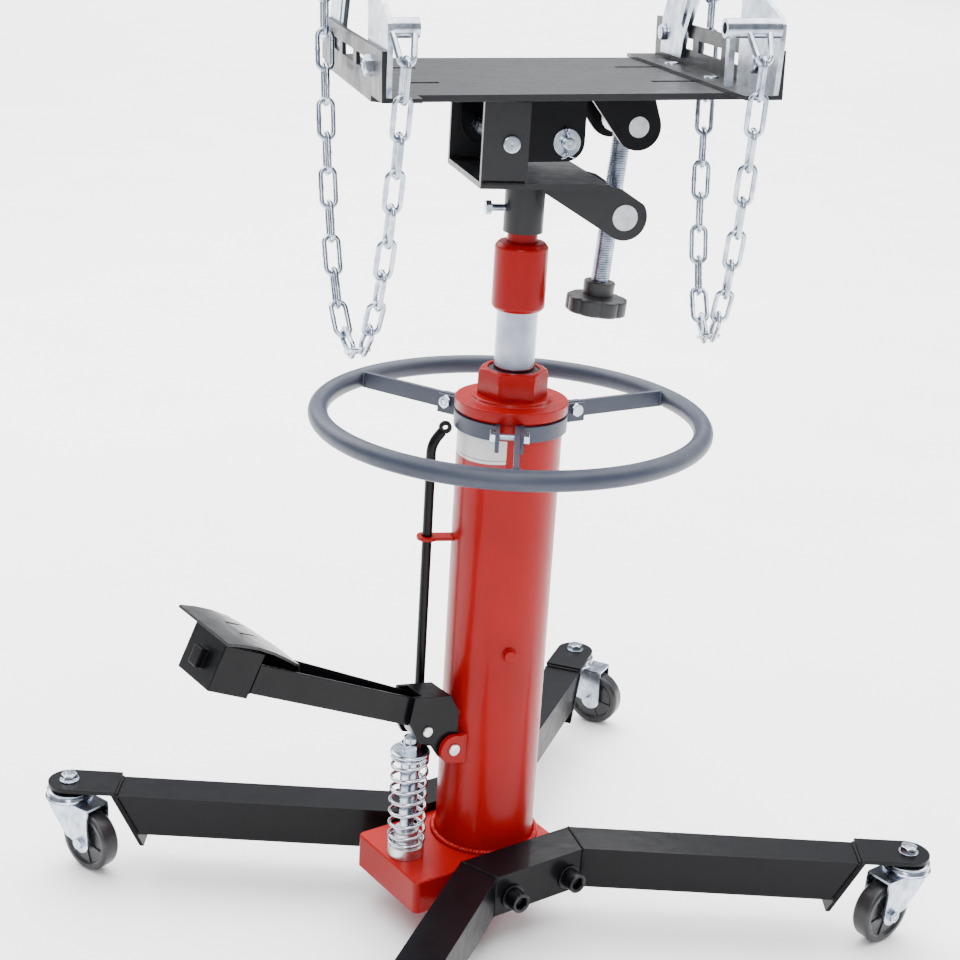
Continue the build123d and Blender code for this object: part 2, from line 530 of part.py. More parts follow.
screw = on_screw(-UPPER_FLAT - 4, UPPER_FLAT + 1, 6.0) + on_screw(UPPER_FLAT + 0.3, 184, SCREW_R)
collar_nut_a = upper_point - screw_dir * (UPPER_FLAT + 0.3)
collar_nut_b = upper_point - screw_dir * (UPPER_FLAT + 6.3)
screw += hex_along(collar_nut_a, collar_nut_b, 17.0)
add("tilt_screw", head(screw))
knob = on_screw(170, 188, 17.0)
lobe_plane = Plane(origin=(upper_point + screw_dir * 187), x_dir=(0, 1, 0), z_dir=screw_dir)
star = Circle(26)
for i in range(7):
    lobe_angle = 2 * math.pi * i / 7
    star += Pos(25 * math.cos(lobe_angle), 25 * math.sin(lobe_angle)) * Circle(8.5)
knob += extrude(lobe_plane * star, 18)
knob -= on_screw(160, 184, SCREW_R)
add("star_knob", head(knob))

# ---- saddle ---------------------------------------------------------------------------
plate = block(-PLATE_X, PLATE_X, -PLATE_Y, PLATE_Y, PLATE_Z1 - PLATE_T, PLATE_Z1)
plate = chamfer_z(plate, 6)
plate += block(-PAD_X, PAD_X, -PLATE_Y, PLATE_Y, PLATE_Z1, PLATE_Z1 + 0.5)
SLOT_Y = (-60.0, 60.0)
for side in (-1, 1):
    for y in SLOT_Y:
        plate -= block(side * 108, side * 186.5, y - 5.2, y + 5.2, 940, 970)
add("saddle_plate", tilted(plate))

ux, uz = untilt(UPPER_X, UPPER_Z)
PLATE_Z0 = PLATE_Z1 - PLATE_T
hangers = []
HANG_X = 20.0
hang_outline = [(-58, PLATE_Z0), (-58, TILT_Z)] + arc_points(TILT_X, TILT_Z, 19, 180, 270, 8)
hang_outline += arc_points(HANG_X, TILT_Z, 19, 270, 360, 8) + [(HANG_X + 20, PLATE_Z0)]
ear_outline = [(42, PLATE_Z0)] + arc_points(ux, uz, 24, 215, 380, 16) + [(114, PLATE_Z0)]
for side in (-1, 1):
    y0, y1 = sorted((side * (YOKE_Y - 12.5), side * (YOKE_Y - 6.5)))
    hanger = xz_plate(hang_outline, y0, y1)
    hanger -= y_pin(TILT_X, TILT_Z, -90, 90, 9.0 + PIN_GAP)
    hanger -= y_pin(HANG_X, TILT_Z, -90, 90, 6.0)
    y0, y1 = sorted((side * EAR_Y0, side * EAR_Y1))
    ear = xz_plate(ear_outline, y0, y1)
    ear -= y_pin(ux, uz, -90, 90, 10.6 + PIN_GAP)
    hangers += [tilted(hanger), tilted(ear)]
add("saddle_hangers", *hangers)

cross = y_pin(HANG_X, TILT_Z, -YOKE_Y - 7, YOKE_Y - 3, 6.0)
cross += y_pin(HANG_X, TILT_Z, YOKE_Y - 6.5, YOKE_Y - 2.5, 10.0)
clip_washer = y_pin(HANG_X, TILT_Z, -YOKE_Y + 6.5, -YOKE_Y + 4.5, 14.0)
clip_washer -= y_pin(HANG_X, TILT_Z, -YOKE_Y + 7, -YOKE_Y + 4, 6.0)
cross -= rod((HANG_X, -YOKE_Y - 1, TILT_Z - 10), (HANG_X, -YOKE_Y - 1, TILT_Z + 10), 1.3)
add("cross_pin", tilted(cross), tilted(clip_washer))
clip = rod((HANG_X, -YOKE_Y - 1, TILT_Z - 9), (HANG_X, -YOKE_Y - 1, TILT_Z + 16), 1.2)
clip += Pos(HANG_X, -YOKE_Y - 1, TILT_Z + 16) * Sphere(1.2)
clip += rod((HANG_X, -YOKE_Y - 1, TILT_Z + 16), (HANG_X - 8, -YOKE_Y - 1, TILT_Z + 9.5), 1.2)
clip += Pos(HANG_X - 8, -YOKE_Y - 1, TILT_Z + 9.5) * Sphere(1.2)
clip += rod((HANG_X - 8, -YOKE_Y - 1, TILT_Z + 9.5), (HANG_X - 12, -YOKE_Y - 1, TILT_Z - 8), 1.2)
add("r_clip", tilted(clip))

# ---- rails, corner brackets and chains ------------------------------------------------
FRONT_Y, FRONT_Z = -200.0, 1022.0        # barrel of a front bracket
REAR_Y, REAR_Z = 50.0, 1056.0            # barrel of a rear bracket
FRONT_BAILS = {1: (160.0, FRONT_Y - 6, FRONT_Z - 4, -15.0), -1: (172.0, FRONT_Y - 6, FRONT_Z - 4, -15.0)}
FRONT_BARRELS = {1: 53.0, -1: 24.0}      # barrel lengths, right and left
REAR_BAIL = (205.0, REAR_Y - 6, REAR_Z - 4, -3.0)
REAR_BOLT = (118.0, 988.0)
FRONT_BOLT = (-150.0, 984.0)
BRACKET_X1 = RAIL_X - RAIL_T


def mirrored(shape, side):
    return shape if side > 0 else mirror(shape, Plane.YZ)


def rail(side):
    low = PLATE_Z1 + RAIL_SEAT
    shape = block(RAIL_X - RAIL_W, RAIL_X, RAIL_Y0, RAIL_Y1, low, PLATE_Z1 + RAIL_T)
    shape += block(BRACKET_X1, RAIL_X, RAIL_Y0, RAIL_Y1, low, PLATE_Z1 + RAIL_H)
    for y0, y1 in ((-128, -62), (-44, 22), (40, 92)):
        shape -= block(BRACKET_X1 - 1, RAIL_X + 1, y0, y1, PLATE_Z1 + 19, PLATE_Z1 + 31)
    for y in SLOT_Y:
        shape -= post(RAIL_X - 19, y, PLATE_Z1 - 1, PLATE_Z1 + RAIL_T + 1, 5.2)
    for y, z in (REAR_BOLT, FRONT_BOLT):
        shape -= x_pin(y, z, BRACKET_X1 - 1, RAIL_X + 1, 5.2)
    return tilted(mirrored(shape, side))


def bent_rod(points, r):
    """Round rod through the given points, with ball corners."""
    shape = rod(points[0], points[1], r)
    for a, b in zip(points[1:], points[2:]):
        shape += Pos(*a) * Sphere(r) + rod(a, b, r)
    return shape


def bail(x, y, z, lean):
    """U-shaped bail welded under a barrel at (x, y, z), its foot leaning by lean along Y."""
    foot_z = z - BAIL_DROP + BAIL_U
    foot = [(px, y + lean, pz) for px, pz in arc_points(x, foot_z, BAIL_U, 180, 360, 6)]
    return bent_rod([(x - 10, y, z)] + foot + [(x + 10, y, z)], 3.0)


def front_bracket(side):
    x0 = BRACKET_X1 - 5
    outline = [(-199, PLATE_Z1 + RAIL_T), (-206, 1010), (-206, 1026), (-198, 1033), (-112, 1062),
               (-104, 1056), (-104, PLATE_Z1 + RAIL_T)]
    plate_shape = yz_plate(outline, x0, BRACKET_X1) - x_pin(*FRONT_BOLT, x0 - 1, RAIL_X + 1, 5.2)
    inner = x0 - FRONT_BARRELS[side]
    barrel = x_pin(FRONT_Y, FRONT_Z, inner, x0 + 0.5, BARREL_R)
    bore = x_pin(FRONT_Y, FRONT_Z, inner - 1, x0 - 2, 5.5)
    shape = plate_shape + (barrel - bore) + (bail(*FRONT_BAILS[side]) - bore)
    if side > 0:
        shape += block(inner + 4, inner + 10, FRONT_Y - 4, FRONT_Y + 4, FRONT_Z - 52, FRONT_Z - 6)
    return tilted(mirrored(shape, side))


def rear_bracket(side):
    x0 = BRACKET_X1 - 5
    outline = [(128, 966), (62, 966), (56, 985), (22, 1034), (14, 1062), (28, 1082), (60, 1082),
               (98, 1046), (126, 1004)]
    plate_shape = yz_plate(outline, x0, BRACKET_X1) - x_pin(*REAR_BOLT, x0 - 1, RAIL_X + 1, 5.2)
    slot = yz_plate([(66, 1001), (58, 996), (38, 1030), (46, 1035)], x0 - 1, RAIL_X)
    plate_shape -= slot
    barrel = x_pin(REAR_Y, REAR_Z, x0 + 4.5, 216, BARREL_R) - x_pin(REAR_Y, REAR_Z, x0 + 7, 217, 5.5)
    hook = bail(*REAR_BAIL) - x_pin(REAR_Y, REAR_Z, x0 + 1, 217, 5.5)
    return tilted(mirrored(plate_shape + barrel + hook, side))


def rail_bolts(side):
    solids = []
    for y in SLOT_Y:
        bolt = post(RAIL_X - 19, y, PLATE_Z0 - 9, PLATE_Z1 + RAIL_T, 5.0)
        bolt += hex_post(RAIL_X - 19, y, PLATE_Z0 - 9.3, PLATE_Z0 - 2.3, 15.0)
        bolt += post(RAIL_X - 19, y, PLATE_Z0 - 2.3, PLATE_Z0 - 0.3, 10.0)
        bolt += post(RAIL_X - 19, y, PLATE_Z1 + RAIL_T, PLATE_Z1 + RAIL_T + 2, 8.0)
        solids.append(bolt)
    for y, z in (REAR_BOLT, FRONT_BOLT):
        bolt = x_pin(y, z, BRACKET_X1 - 5, RAIL_X + 9, 5.0)
        bolt += x_pin(y, z, BRACKET_X1 - 10, BRACKET_X1 - 5, 9.0)
        bolt += hex_along((RAIL_X, y, z), (RAIL_X + 8, y, z), 17.0)
        solids.append(bolt)
    return [tilted(mirrored(s, side)) for s in solids]


def catenary(start, end, length, count):
    """Points at equal spacing along a hanging chain of the given length."""
    span = math.hypot(end[0] - start[0], end[1] - start[1])
    rise = end[2] - start[2]
    target = math.sqrt(length ** 2 - rise ** 2) / span
    low, high = 1e-6, 20.0
    for _ in range(80):
        k = (low + high) / 2
        if math.sinh(k) / k < target:
            low = k
        else:
            high = k
    a = span / (2 * k)
    shift = a * math.atanh(rise / length)
    points = []
    for i in range(count + 1):
        s = length * i / count
        first = a * math.sinh((-span / 2 + shift) / a)
        u = a * math.asinh((s + first) / a) - shift
        drop = a * math.cosh((u + shift) / a) - a * math.cosh((-span / 2 + shift) / a)
        t = (u + span / 2) / span
        points.append(Vector(start[0] + (end[0] - start[0]) * t, start[1] + (end[1] - start[1]) * t,
                             start[2] + drop))
    return points


def chain_link(a, b, across):
    """One oval link whose inner ends bear at a and b, lying in the plane of its run and across."""
    run = (b - a).normalized()
    normal = run.cross(across).normalized()
    plane = Plane(origin=((a + b) * 0.5), x_dir=run, z_dir=normal)
    centre_r = (LINK_WIDE - LINK_D) / 2
    half = (b - a).length / 2 + LINK_D / 2 + 0.3 - centre_r
    corners = [(-half, -centre_r), (half, -centre_r), (half, centre_r), (-half, centre_r)]
    path = Wire([Line(corners[0], corners[1]).edge(),
                 ThreePointArc(corners[1], (half + centre_r, 0), corners[2]).edge(),
                 Line(corners[2], corners[3]).edge(),
                 ThreePointArc(corners[3], (-half - centre_r, 0), corners[0]).edge()])
    ring_path = plane * path
    start = plane * Pos(-half, -centre_r, 0)
    section = Plane(origin=start.position, z_dir=run) * Circle(LINK_D / 2)
    return sweep(section, path=ring_path)


def retilt(x, y, z):
    """Saddle-frame point (x, y, z) written in the head frame."""
    a = math.radians(SADDLE_TILT)
    dx, dz = x - TILT_X, z - TILT_Z
    return TILT_X + dx * math.cos(a) - dz * math.sin(a), y, TILT_Z + dx * math.sin(a) + dz * math.cos(a)


def hook_point(side, x, y, z, lean):
    """Where a chain's end link bears on the foot of a bail, in the head frame."""
    return retilt(side * x, y + lean, z - BAIL_DROP + 3.3)


def chain(side):
    start = hook_point(side, *FRONT_BAILS[side])
    end = hook_point(side, *REAR_BAIL)
    points = catenary(start, end, CHAIN_LINKS * LINK_IN, CHAIN_LINKS)
    side_dir = Vector(end[1] - start[1], start[0] - end[0], 0).normalized()
    solids = []
    for i in range(CHAIN_LINKS):
        run = (points[i + 1] - points[i]).normalized()
        across = side_dir if i % 2 else run.cross(side_dir)
        solids.append(chain_link(points[i], points[i + 1], across))
    return [head(s) for s in solids]


for name, side in (("left", -1), ("right", 1)):
    add(name + "_rail", rail(side))
    add(name + "_front_bracket", front_bracket(side))
    add(name + "_rear_bracket", rear_bracket(side))
    add(name + "_rail_bolts", *rail_bolts(side))
    add(name + "_chain", *chain(side))

# ---- export ---------------------------------------------------------------------------
for name, shapes in nodes.items():
    solids = [s for shape in shapes for s in shape.solids()]
    whole = solids[0] if len(solids) == 1 else Compound(children=solids)
    export_step(whole, f"parts/{name}.step")
print(len(nodes), "nodes")
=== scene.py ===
import json
import math
import random

import bmesh
import bpy
from mathutils import Matrix, Vector


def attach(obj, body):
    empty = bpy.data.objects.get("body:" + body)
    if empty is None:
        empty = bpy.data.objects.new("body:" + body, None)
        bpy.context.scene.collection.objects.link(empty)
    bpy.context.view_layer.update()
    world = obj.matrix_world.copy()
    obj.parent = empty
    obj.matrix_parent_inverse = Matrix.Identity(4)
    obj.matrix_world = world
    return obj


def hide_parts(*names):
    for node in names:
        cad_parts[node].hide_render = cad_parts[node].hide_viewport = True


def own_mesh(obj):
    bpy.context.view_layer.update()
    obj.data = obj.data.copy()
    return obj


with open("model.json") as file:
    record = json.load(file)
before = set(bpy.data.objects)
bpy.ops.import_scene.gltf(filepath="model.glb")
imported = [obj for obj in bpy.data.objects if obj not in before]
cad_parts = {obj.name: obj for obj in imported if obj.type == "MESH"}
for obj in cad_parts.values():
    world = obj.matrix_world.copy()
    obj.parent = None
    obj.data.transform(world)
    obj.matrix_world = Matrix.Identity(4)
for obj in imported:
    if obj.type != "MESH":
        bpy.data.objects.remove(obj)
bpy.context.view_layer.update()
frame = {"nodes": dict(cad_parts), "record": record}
random.seed(7)

# Lengths below are millimetres; shapes are scaled to metres as they become objects.
MM = 0.001
I4 = Matrix.Identity(4)
HEAD_YAW, SADDLE_TILT = -22.0, 2.0
PIVOT = Vector((-38, 0, 899))
UPPER, LOWER = Vector((100.9, 0, 914.9)), Vector((94.3, 0, 822.3))
BODY_OF = {node: body for body, nodes in frame["record"]["behaviour"]["bodies"].items() for node in nodes}
SLOT_OF = {row["node"]: row["material_slot"] for row in frame["record"]["subparts"]}
# parts that get the lit copy of the black paint: its lighter base colour is painted light for their bright
# top faces; the real parts share one black paint
LIT_COPY_NODES = ("saddle_plate", "saddle_yoke", "foot_plate", "left_rail", "right_rail")


def rot(axis, degrees):
    return Matrix.Rotation(math.radians(degrees), 4, axis)


def at(x, y, z):
    return Matrix.Translation((x, y, z))


def along(start, direction, x_hint=(1, 0, 0)):
    """Frame at start with its Z along direction."""
    z = Vector(direction).normalized()
    x = Vector(x_hint)
    x = x - z * x.dot(z)
    if x.length < 1e-3:
        x = Vector((0, 1, 0)) - z * z.y
    x.normalize()
    y = z.cross(x)
    m = Matrix((x, y, z)).transposed().to_4x4()
    m.translation = Vector(start)
    return m


HEAD = rot("Z", HEAD_YAW)
SADDLE = HEAD @ at(*PIVOT) @ rot("Y", -SADDLE_TILT) @ at(*-PIVOT)


# ---- materials --------------------------------------------------------------------------
def shader(name, color, metallic=0.0, rough=0.4, coat=0.0, coat_rough=0.03, specular=0.5, ior=1.5):
    mat = bpy.data.materials.new(name)
    mat.use_nodes = True
    tree = mat.node_tree
    bsdf = tree.nodes["Principled BSDF"]
    bsdf.inputs["Base Color"].default_value = (*color, 1)
    bsdf.inputs["Metallic"].default_value = metallic
    bsdf.inputs["Roughness"].default_value = rough
    bsdf.inputs["IOR"].default_value = ior
    bsdf.inputs["Specular IOR Level"].default_value = specular
    bsdf.inputs["Coat Weight"].default_value = coat
    bsdf.inputs["Coat Roughness"].default_value = coat_rough
    coords = tree.nodes.new("ShaderNodeTexCoord")
    return mat, tree, bsdf, coords


def noise(tree, coords, scale, detail=4.0, stretch=(1, 1, 1)):
    mapping = tree.nodes.new("ShaderNodeMapping")
    mapping.inputs["Scale"].default_value = stretch
    tree.links.new(coords.outputs["Object"], mapping.inputs["Vector"])
    node = tree.nodes.new("ShaderNodeTexNoise")
    node.inputs["Scale"].default_value = scale
    node.inputs["Detail"].default_value = detail
    tree.links.new(mapping.outputs["Vector"], node.inputs["Vector"])
    return node.outputs["Fac"]


def ramp(tree, fac, low, high, low_at=0.3, high_at=0.7):
    node = tree.nodes.new("ShaderNodeValToRGB")
    node.color_ramp.elements[0].position = low_at
    node.color_ramp.elements[1].position = high_at
    node.color_ramp.elements[0].color = (*low, 1)
    node.color_ramp.elements[1].color = (*high, 1)
    tree.links.new(fac, node.inputs["Fac"])
    return node.outputs["Color"]


def spread(tree, fac, low, high):
    node = tree.nodes.new("ShaderNodeMapRange")
    node.inputs["To Min"].default_value = low
    node.inputs["To Max"].default_value = high
    tree.links.new(fac, node.inputs["Value"])
    return node.outputs["Result"]


def bump(tree, bsdf, heights, coat=False):
    """Chains (height output, strength, distance) rows into the shader's normal."""
    last = None
    for height, strength, distance in heights:
        node = tree.nodes.new("ShaderNodeBump")
        node.inputs["Strength"].default_value = strength
        node.inputs["Distance"].default_value = distance
        tree.links.new(height, node.inputs["Height"])
        if last:
            tree.links.new(last, node.inputs["Normal"])
        last = node.outputs["Normal"]
    tree.links.new(last, bsdf.inputs["Normal"])
    if coat:
        tree.links.new(last, bsdf.inputs["Coat Normal"])


def gloss_paint(name, color, dark, rough, coat, peel=0.12, grime=1.0, specular=0.4):
    mat, tree, bsdf, coords = shader(name, color, rough=rough, coat=coat, coat_rough=0.05, specular=specular)
    cloud = noise(tree, coords, 9.0, 5.0)
    tree.links.new(ramp(tree, cloud, dark, color), bsdf.inputs["Base Color"])
    streak = noise(tree, coords, 60.0, 6.0)
    tree.links.new(spread(tree, streak, rough * 0.7, rough * (1.0 + 0.6 * grime)), bsdf.inputs["Roughness"])
    peel_fine = (noise(tree, coords, 420.0, 2.0), peel, 0.0006)
    peel_broad = (noise(tree, coords, 70.0, 3.0), peel, 0.002)
    bump(tree, bsdf, [peel_fine, peel_broad], coat=True)
    return mat


def powder(name, color, dark):
    mat, tree, bsdf, coords = shader(name, color, rough=0.5, specular=0.5)
    tree.links.new(ramp(tree, noise(tree, coords, 30.0, 6.0), dark, color), bsdf.inputs["Base Color"])
    tree.links.new(spread(tree, noise(tree, coords, 260.0, 3.0), 0.36, 0.56), bsdf.inputs["Roughness"])
    grains = (noise(tree, coords, 1500.0, 2.0), 0.25, 0.0004)
    orange_peel = (noise(tree, coords, 300.0, 2.0), 0.12, 0.0008)
    bump(tree, bsdf, [grains, orange_peel])
    return mat


def metal(name, low, high, rough_low, rough_high, patch=90.0, brushed=None, dent=0.05):
    mat, tree, bsdf, coords = shader(name, high, metallic=1.0, rough=rough_low)
    fac = noise(tree, coords, patch, 6.0)
    tree.links.new(ramp(tree, fac, low, high), bsdf.inputs["Base Color"])
    haze = noise(tree, coords, patch * 2.3, 5.0)
    tree.links.new(spread(tree, haze, rough_low, rough_high), bsdf.inputs["Roughness"])
    rows = [(noise(tree, coords, 600.0, 3.0), dent, 0.0004)]
    if brushed:
        rows.append((noise(tree, coords, 900.0, 2.0, brushed), 0.06, 0.0003))
    bump(tree, bsdf, rows)
    return mat


MAT = {
    "red_paint": gloss_paint("red gloss paint", (0.29, 0.0002, 0.0001), (0.23, 0.0002, 0.0001), 0.30, 0.12,
                             0.08, specular=0.12),
    "black_paint": gloss_paint("black gloss paint", (0.003, 0.003, 0.004), (0.002, 0.002, 0.003), 0.30, 0.10,
                               0.08, specular=0.10),
    # lit copy of the black gloss paint: a lighter base colour (painted light) and more specular, for parts
    # whose top faces catch the light
    "black_paint_lit_copy": gloss_paint("black paint lit copy", (0.010, 0.010, 0.012), (0.006, 0.006, 0.008), 0.36, 0.15,
                               0.08, specular=0.32),
    "grey_powder": powder("slate powder coat", (0.028, 0.036, 0.060), (0.020, 0.026, 0.044)),
    "zinc": metal("bright zinc plate", (0.26, 0.30, 0.37), (0.62, 0.67, 0.75), 0.12, 0.34, 70.0),
    "steel": metal("turned steel", (0.50, 0.50, 0.51), (0.74, 0.74, 0.75), 0.22, 0.42, 120.0, dent=0.1),
    "spring_steel": metal("zinc spring wire", (0.40, 0.43, 0.50), (0.74, 0.76, 0.82), 0.12, 0.28, 60.0),
    "chrome_ram": metal("hard chrome", (0.22, 0.24, 0.29), (0.34, 0.36, 0.42), 0.12, 0.22,
                        40.0, (0.02, 0.02, 1.0), 0.02),
    "red_ram": gloss_paint("red ram paint", (0.28, 0.0002, 0.0001), (0.22, 0.0002, 0.0001), 0.32, 0.1,
                            specular=0.12),
    "black_steel": metal("black oxide steel", (0.018, 0.018, 0.020), (0.045, 0.045, 0.050), 0.34, 0.5,
                         150.0, dent=0.15),
}


def plastic(name, color, dark, rough, grain):
    mat, tree, bsdf, coords = shader(name, color, rough=rough)
    tree.links.new(ramp(tree, noise(tree, coords, 50.0, 5.0), dark, color), bsdf.inputs["Base Color"])
    wear = noise(tree, coords, 140.0, 4.0)
    tree.links.new(spread(tree, wear, rough * 0.8, rough * 1.3), bsdf.inputs["Roughness"])
    bump(tree, bsdf, [(noise(tree, coords, grain, 2.0), 0.15, 0.0004)])
    return mat


MAT["black_plastic"] = plastic("black moulded plastic", (0.016, 0.016, 0.018), (0.010, 0.010, 0.011), 0.42,
                               1100.0)
MAT["wheel_plastic"] = plastic("black wheel nylon", (0.014, 0.014, 0.016), (0.008, 0.008, 0.009), 0.34, 700.0)
MAT["seal"] = plastic("wiper rubber", (0.012, 0.012, 0.012), (0.007, 0.007, 0.007), 0.6, 900.0)


# ---- mesh helpers -----------------------------------------------------------------------
def emit(name, bm, body, slot, replaces=(), bevel=0.0, angle=32.0, segments=2, matrix=I4, smooth=42.0):
    """Turns a bmesh in millimetres into a finished, bevelled piece riding on a body."""
    bmesh.ops.recalc_face_normals(bm, faces=bm.faces)
    mesh = bpy.data.meshes.new(name)
    bm.transform(Matrix.Scale(MM, 4) @ matrix)
    bm.to_mesh(mesh)
    bm.free()
    obj = bpy.data.objects.new(name, mesh)
    bpy.context.scene.collection.objects.link(obj)
    if bevel:
        mod = obj.modifiers.new("edges", "BEVEL")
        mod.width = bevel * MM
        mod.segments = segments
        mod.limit_method = "ANGLE"
        mod.angle_limit = math.radians(angle)
        mod.miter_outer = "MITER_ARC"
        mod.use_clamp_overlap = True
    for poly in mesh.polygons:
        poly.use_smooth = True
    weighted = obj.modifiers.new("normals", "WEIGHTED_NORMAL")
    weighted.keep_sharp = True
    mesh.set_sharp_from_angle(angle=math.radians(smooth if not bevel else 80.0))
    bpy.context.view_layer.update()
    done = bpy.data.meshes.new_from_object(obj.evaluated_get(bpy.context.evaluated_depsgraph_get()))
    obj.modifiers.clear()
    obj.data = done
    done.name = name
    bpy.data.meshes.remove(mesh)
    done.materials.clear()
    done.materials.append(MAT[slot])
    if replaces:
        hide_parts(*replaces)
    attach(obj, body)
    return obj


def from_cad(node, bevel=0.8, dissolve=1.2, angle=32.0, segments=2, name=None):
    """A copy of a CAD node with its flat faces merged and its edges rounded."""
    bm = bmesh.new()
    bm.from_mesh(frame["nodes"][node].data)
    bmesh.ops.scale(bm, vec=(1000, 1000, 1000), verts=bm.verts)
    bmesh.ops.remove_doubles(bm, verts=bm.verts, dist=0.003)
    bmesh.ops.dissolve_limit(bm, angle_limit=math.radians(dissolve), verts=bm.verts, edges=bm.edges)
    # the listed parts take the lit copy of the black paint, whose lighter base colour is painted light
    material_key = "black_paint_lit_copy" if node in LIT_COPY_NODES else SLOT_OF[node]
    return emit(name or node + "_shape", bm, BODY_OF[node], material_key, [node], bevel, angle, segments)


def rounded(points, r, steps=3):
    """Closed outline with its corners rounded to about radius r."""
    out = []
    n = len(points)
    for i, p in enumerate(points):
        p = Vector(p)
        a, b = Vector(points[i - 1]), Vector(points[(i + 1) % n])
        da, db = a - p, b - p
        cut = min(r, da.length * 0.45, db.length * 0.45)
        if cut < 1e-4 or abs(da.normalized().dot(db.normalized()) + 1) < 1e-4:
            out.append(p)
            continue
        s, e = p + da.normalized() * cut, p + db.normalized() * cut
        for k in range(steps + 1):
            t = k / steps
            out.append(s * (1 - t) ** 2 + p * 2 * t * (1 - t) + e * t ** 2)
    return out


def grid(bm, rows, close_u=True, close_v=False):
    """Quads over rows of points; rows closed along u, and the last row joined to the first if close_v."""
    verts = [[bm.verts.new(p) for p in row] for row in rows]
    n, m = len(verts), len(verts[0])
    for i in range(n if close_v else n - 1):
        for j in range(m if close_u else m - 1):
            a, b = verts[i], verts[(i + 1) % n]
            bm.faces.new((a[j], a[(j + 1) % m], b[(j + 1) % m], b[j]))
    return verts


def cap(bm, row):
    bm.faces.new(row)


def lathe(bm, profile, matrix=I4, seg=96, radius=None):
    """Revolves a closed (r, z) outline about the local Z axis. radius(theta, r, z) may change each radius."""
    rows = []
    for r, z in profile:
        row = []
        for j in range(seg):
            t = 2 * math.pi * j / seg
            rr = radius(t, r, z) if radius else r
            row.append(matrix @ Vector((rr * math.cos(t), rr * math.sin(t), z)))
        rows.append(row)
    grid(bm, rows, True, True)


def ring_of(points, r, steps=3):
    return [(p.x, p.y) for p in rounded([(a, b) for a, b in points], r, steps)]


def turned(bm, points, matrix=I4, r=0.8, seg=96):
    """Lathed part, with an axial bore or none: outline points with r = 0 stay on the axis."""
    soft = ring_of(points, r)
    lathe(bm, [(max(a, 0.02), b) for a, b in soft], matrix, seg)


def hex_r(across, theta):
    a = (theta + math.pi / 6) % (math.pi / 3) - math.pi / 6
    return across / 2 / math.cos(a)


def hex_head(bm, matrix, across, height, bore=0.0, dish=0.0, washer=0.0, seg=72):
    """Hexagon with the conical chamfer of a turned bolt head, standing on z = 0."""
    top_r = across / 2 * 0.985
    corner = across / 2 / math.cos(math.pi / 6)
    cone_h = (corner - top_r) * math.tan(math.radians(30))
    levels = [(height * k / 3 * 0.75, corner) for k in range(4)]
    levels += [(height - cone_h * (1 - k / 5), corner - (corner - top_r) * k / 5) for k in range(1, 6)]
    rows = []
    for z, limit in levels:
        rows.append([matrix @ Vector((min(hex_r(across, t), limit) * math.cos(t),
                                      min(hex_r(across, t), limit) * math.sin(t), z))
                     for t in (2 * math.pi * j / seg for j in range(seg))])
    inner = [(top_r - 0.35, height + 0.12)]
    if bore:
        inner += [(bore + 0.5, height + 0.12), (bore, height - 0.4), (bore, 0.0)]
    elif dish:
        inner += [(top_r * 0.62, height + 0.12), (top_r * 0.5, height - dish), (0.02, height - dish)]
    else:
        inner += [(0.02, height + 0.12)]
    for r, z in inner:
        rows.append([matrix @ Vector((r * math.cos(t), r * math.sin(t), z))
                     for t in (2 * math.pi * j / seg for j in range(seg))])
    if not bore:
        rows.append([matrix @ Vector((0.02 * math.cos(t), 0.02 * math.sin(t), 0.0))
                     for t in (2 * math.pi * j / seg for j in range(seg))])
    grid(bm, rows, True, True)
    if washer:
        hole = bore or across * 0.28
        turned(bm, [(hole, -1.6), (washer, -1.6), (washer, -0.02), (hole, -0.02)], matrix, 0.3, 48)


def thread(bm, matrix, r, pitch, z0, z1, depth=None, seg=32):
    """Rod with a real helical thread and closed ends."""
    depth = depth or pitch * 0.55
    shape = [(0.0, r), (0.22, r), (0.5, r - depth), (0.72, r - depth)]
    turns = int(math.ceil((z1 - z0) / pitch)) + 2
    rows = []
    for k in range(-4, turns * 4):
        part, rr = shape[k % 4]
        row = []
        for j in range(seg):
            t = 2 * math.pi * j / seg
            z = z0 + (k // 4 + part + j / seg) * pitch
            inside = min(max(z, z0), z1)
            lead = min(z1 - inside, inside - z0) / pitch
            rad = min(rr, r - depth * max(0.0, 1 - lead * 1.6))
            row.append(matrix @ Vector((rad * math.cos(t), rad * math.sin(t), inside)))
        rows.append(row)
    verts = []
    for row in rows:
        verts.append([bm.verts.new(p) for p in row])
    for i in range(len(verts) - 1):
        for j in range(seg):
            a, b = verts[i], verts[i + 1]
            if j == seg - 1:
                if i + 5 < len(verts):
                    bm.faces.new((verts[i][j], verts[i + 4][0], verts[i + 5][0], verts[i + 1][j]))
            else:
                bm.faces.new((a[j], a[j + 1], b[j + 1], b[j]))
    bmesh.ops.remove_doubles(bm, verts=[v for row in verts for v in row], dist=1e-5)
    inner = r - depth * 1.02
    turned(bm, [(0, z0), (inner, z0), (inner, z1), (0, z1)], matrix, 0.3, seg)


def tube_along(bm, points, radius, seg=16, closed=False, caps=True, up=None):
    """Round section swept along points (parallel transport); radius is a number or a list."""
    points = [Vector(p) for p in points]
    n = len(points)
    radii = radius if isinstance(radius, (list, tuple)) else [radius] * n
    tangents = []
    for i in range(n):
        a = points[i - 1] if (closed or i > 0) else points[i]
        b = points[(i + 1) % n] if (closed or i < n - 1) else points[i]
        tangents.append((b - a).normalized())
    ref = Vector(up) if up else (Vector((0, 0, 1)) if abs(tangents[0].z) < 0.9 else Vector((1, 0, 0)))
    rows = []
    for p, t, r in zip(points, tangents, radii):
        side = ref - t * ref.dot(t)
        side.normalize()
        if not up:
            ref = side
        other = t.cross(side)
        turns = [2 * math.pi * k / seg for k in range(seg)]
        rows.append([p + side * (r * math.cos(a)) + other * (r * math.sin(a)) for a in turns])
    verts = grid(bm, rows, True, closed)
    if caps and not closed:
        cap(bm, verts[0][::-1])
        cap(bm, verts[-1])


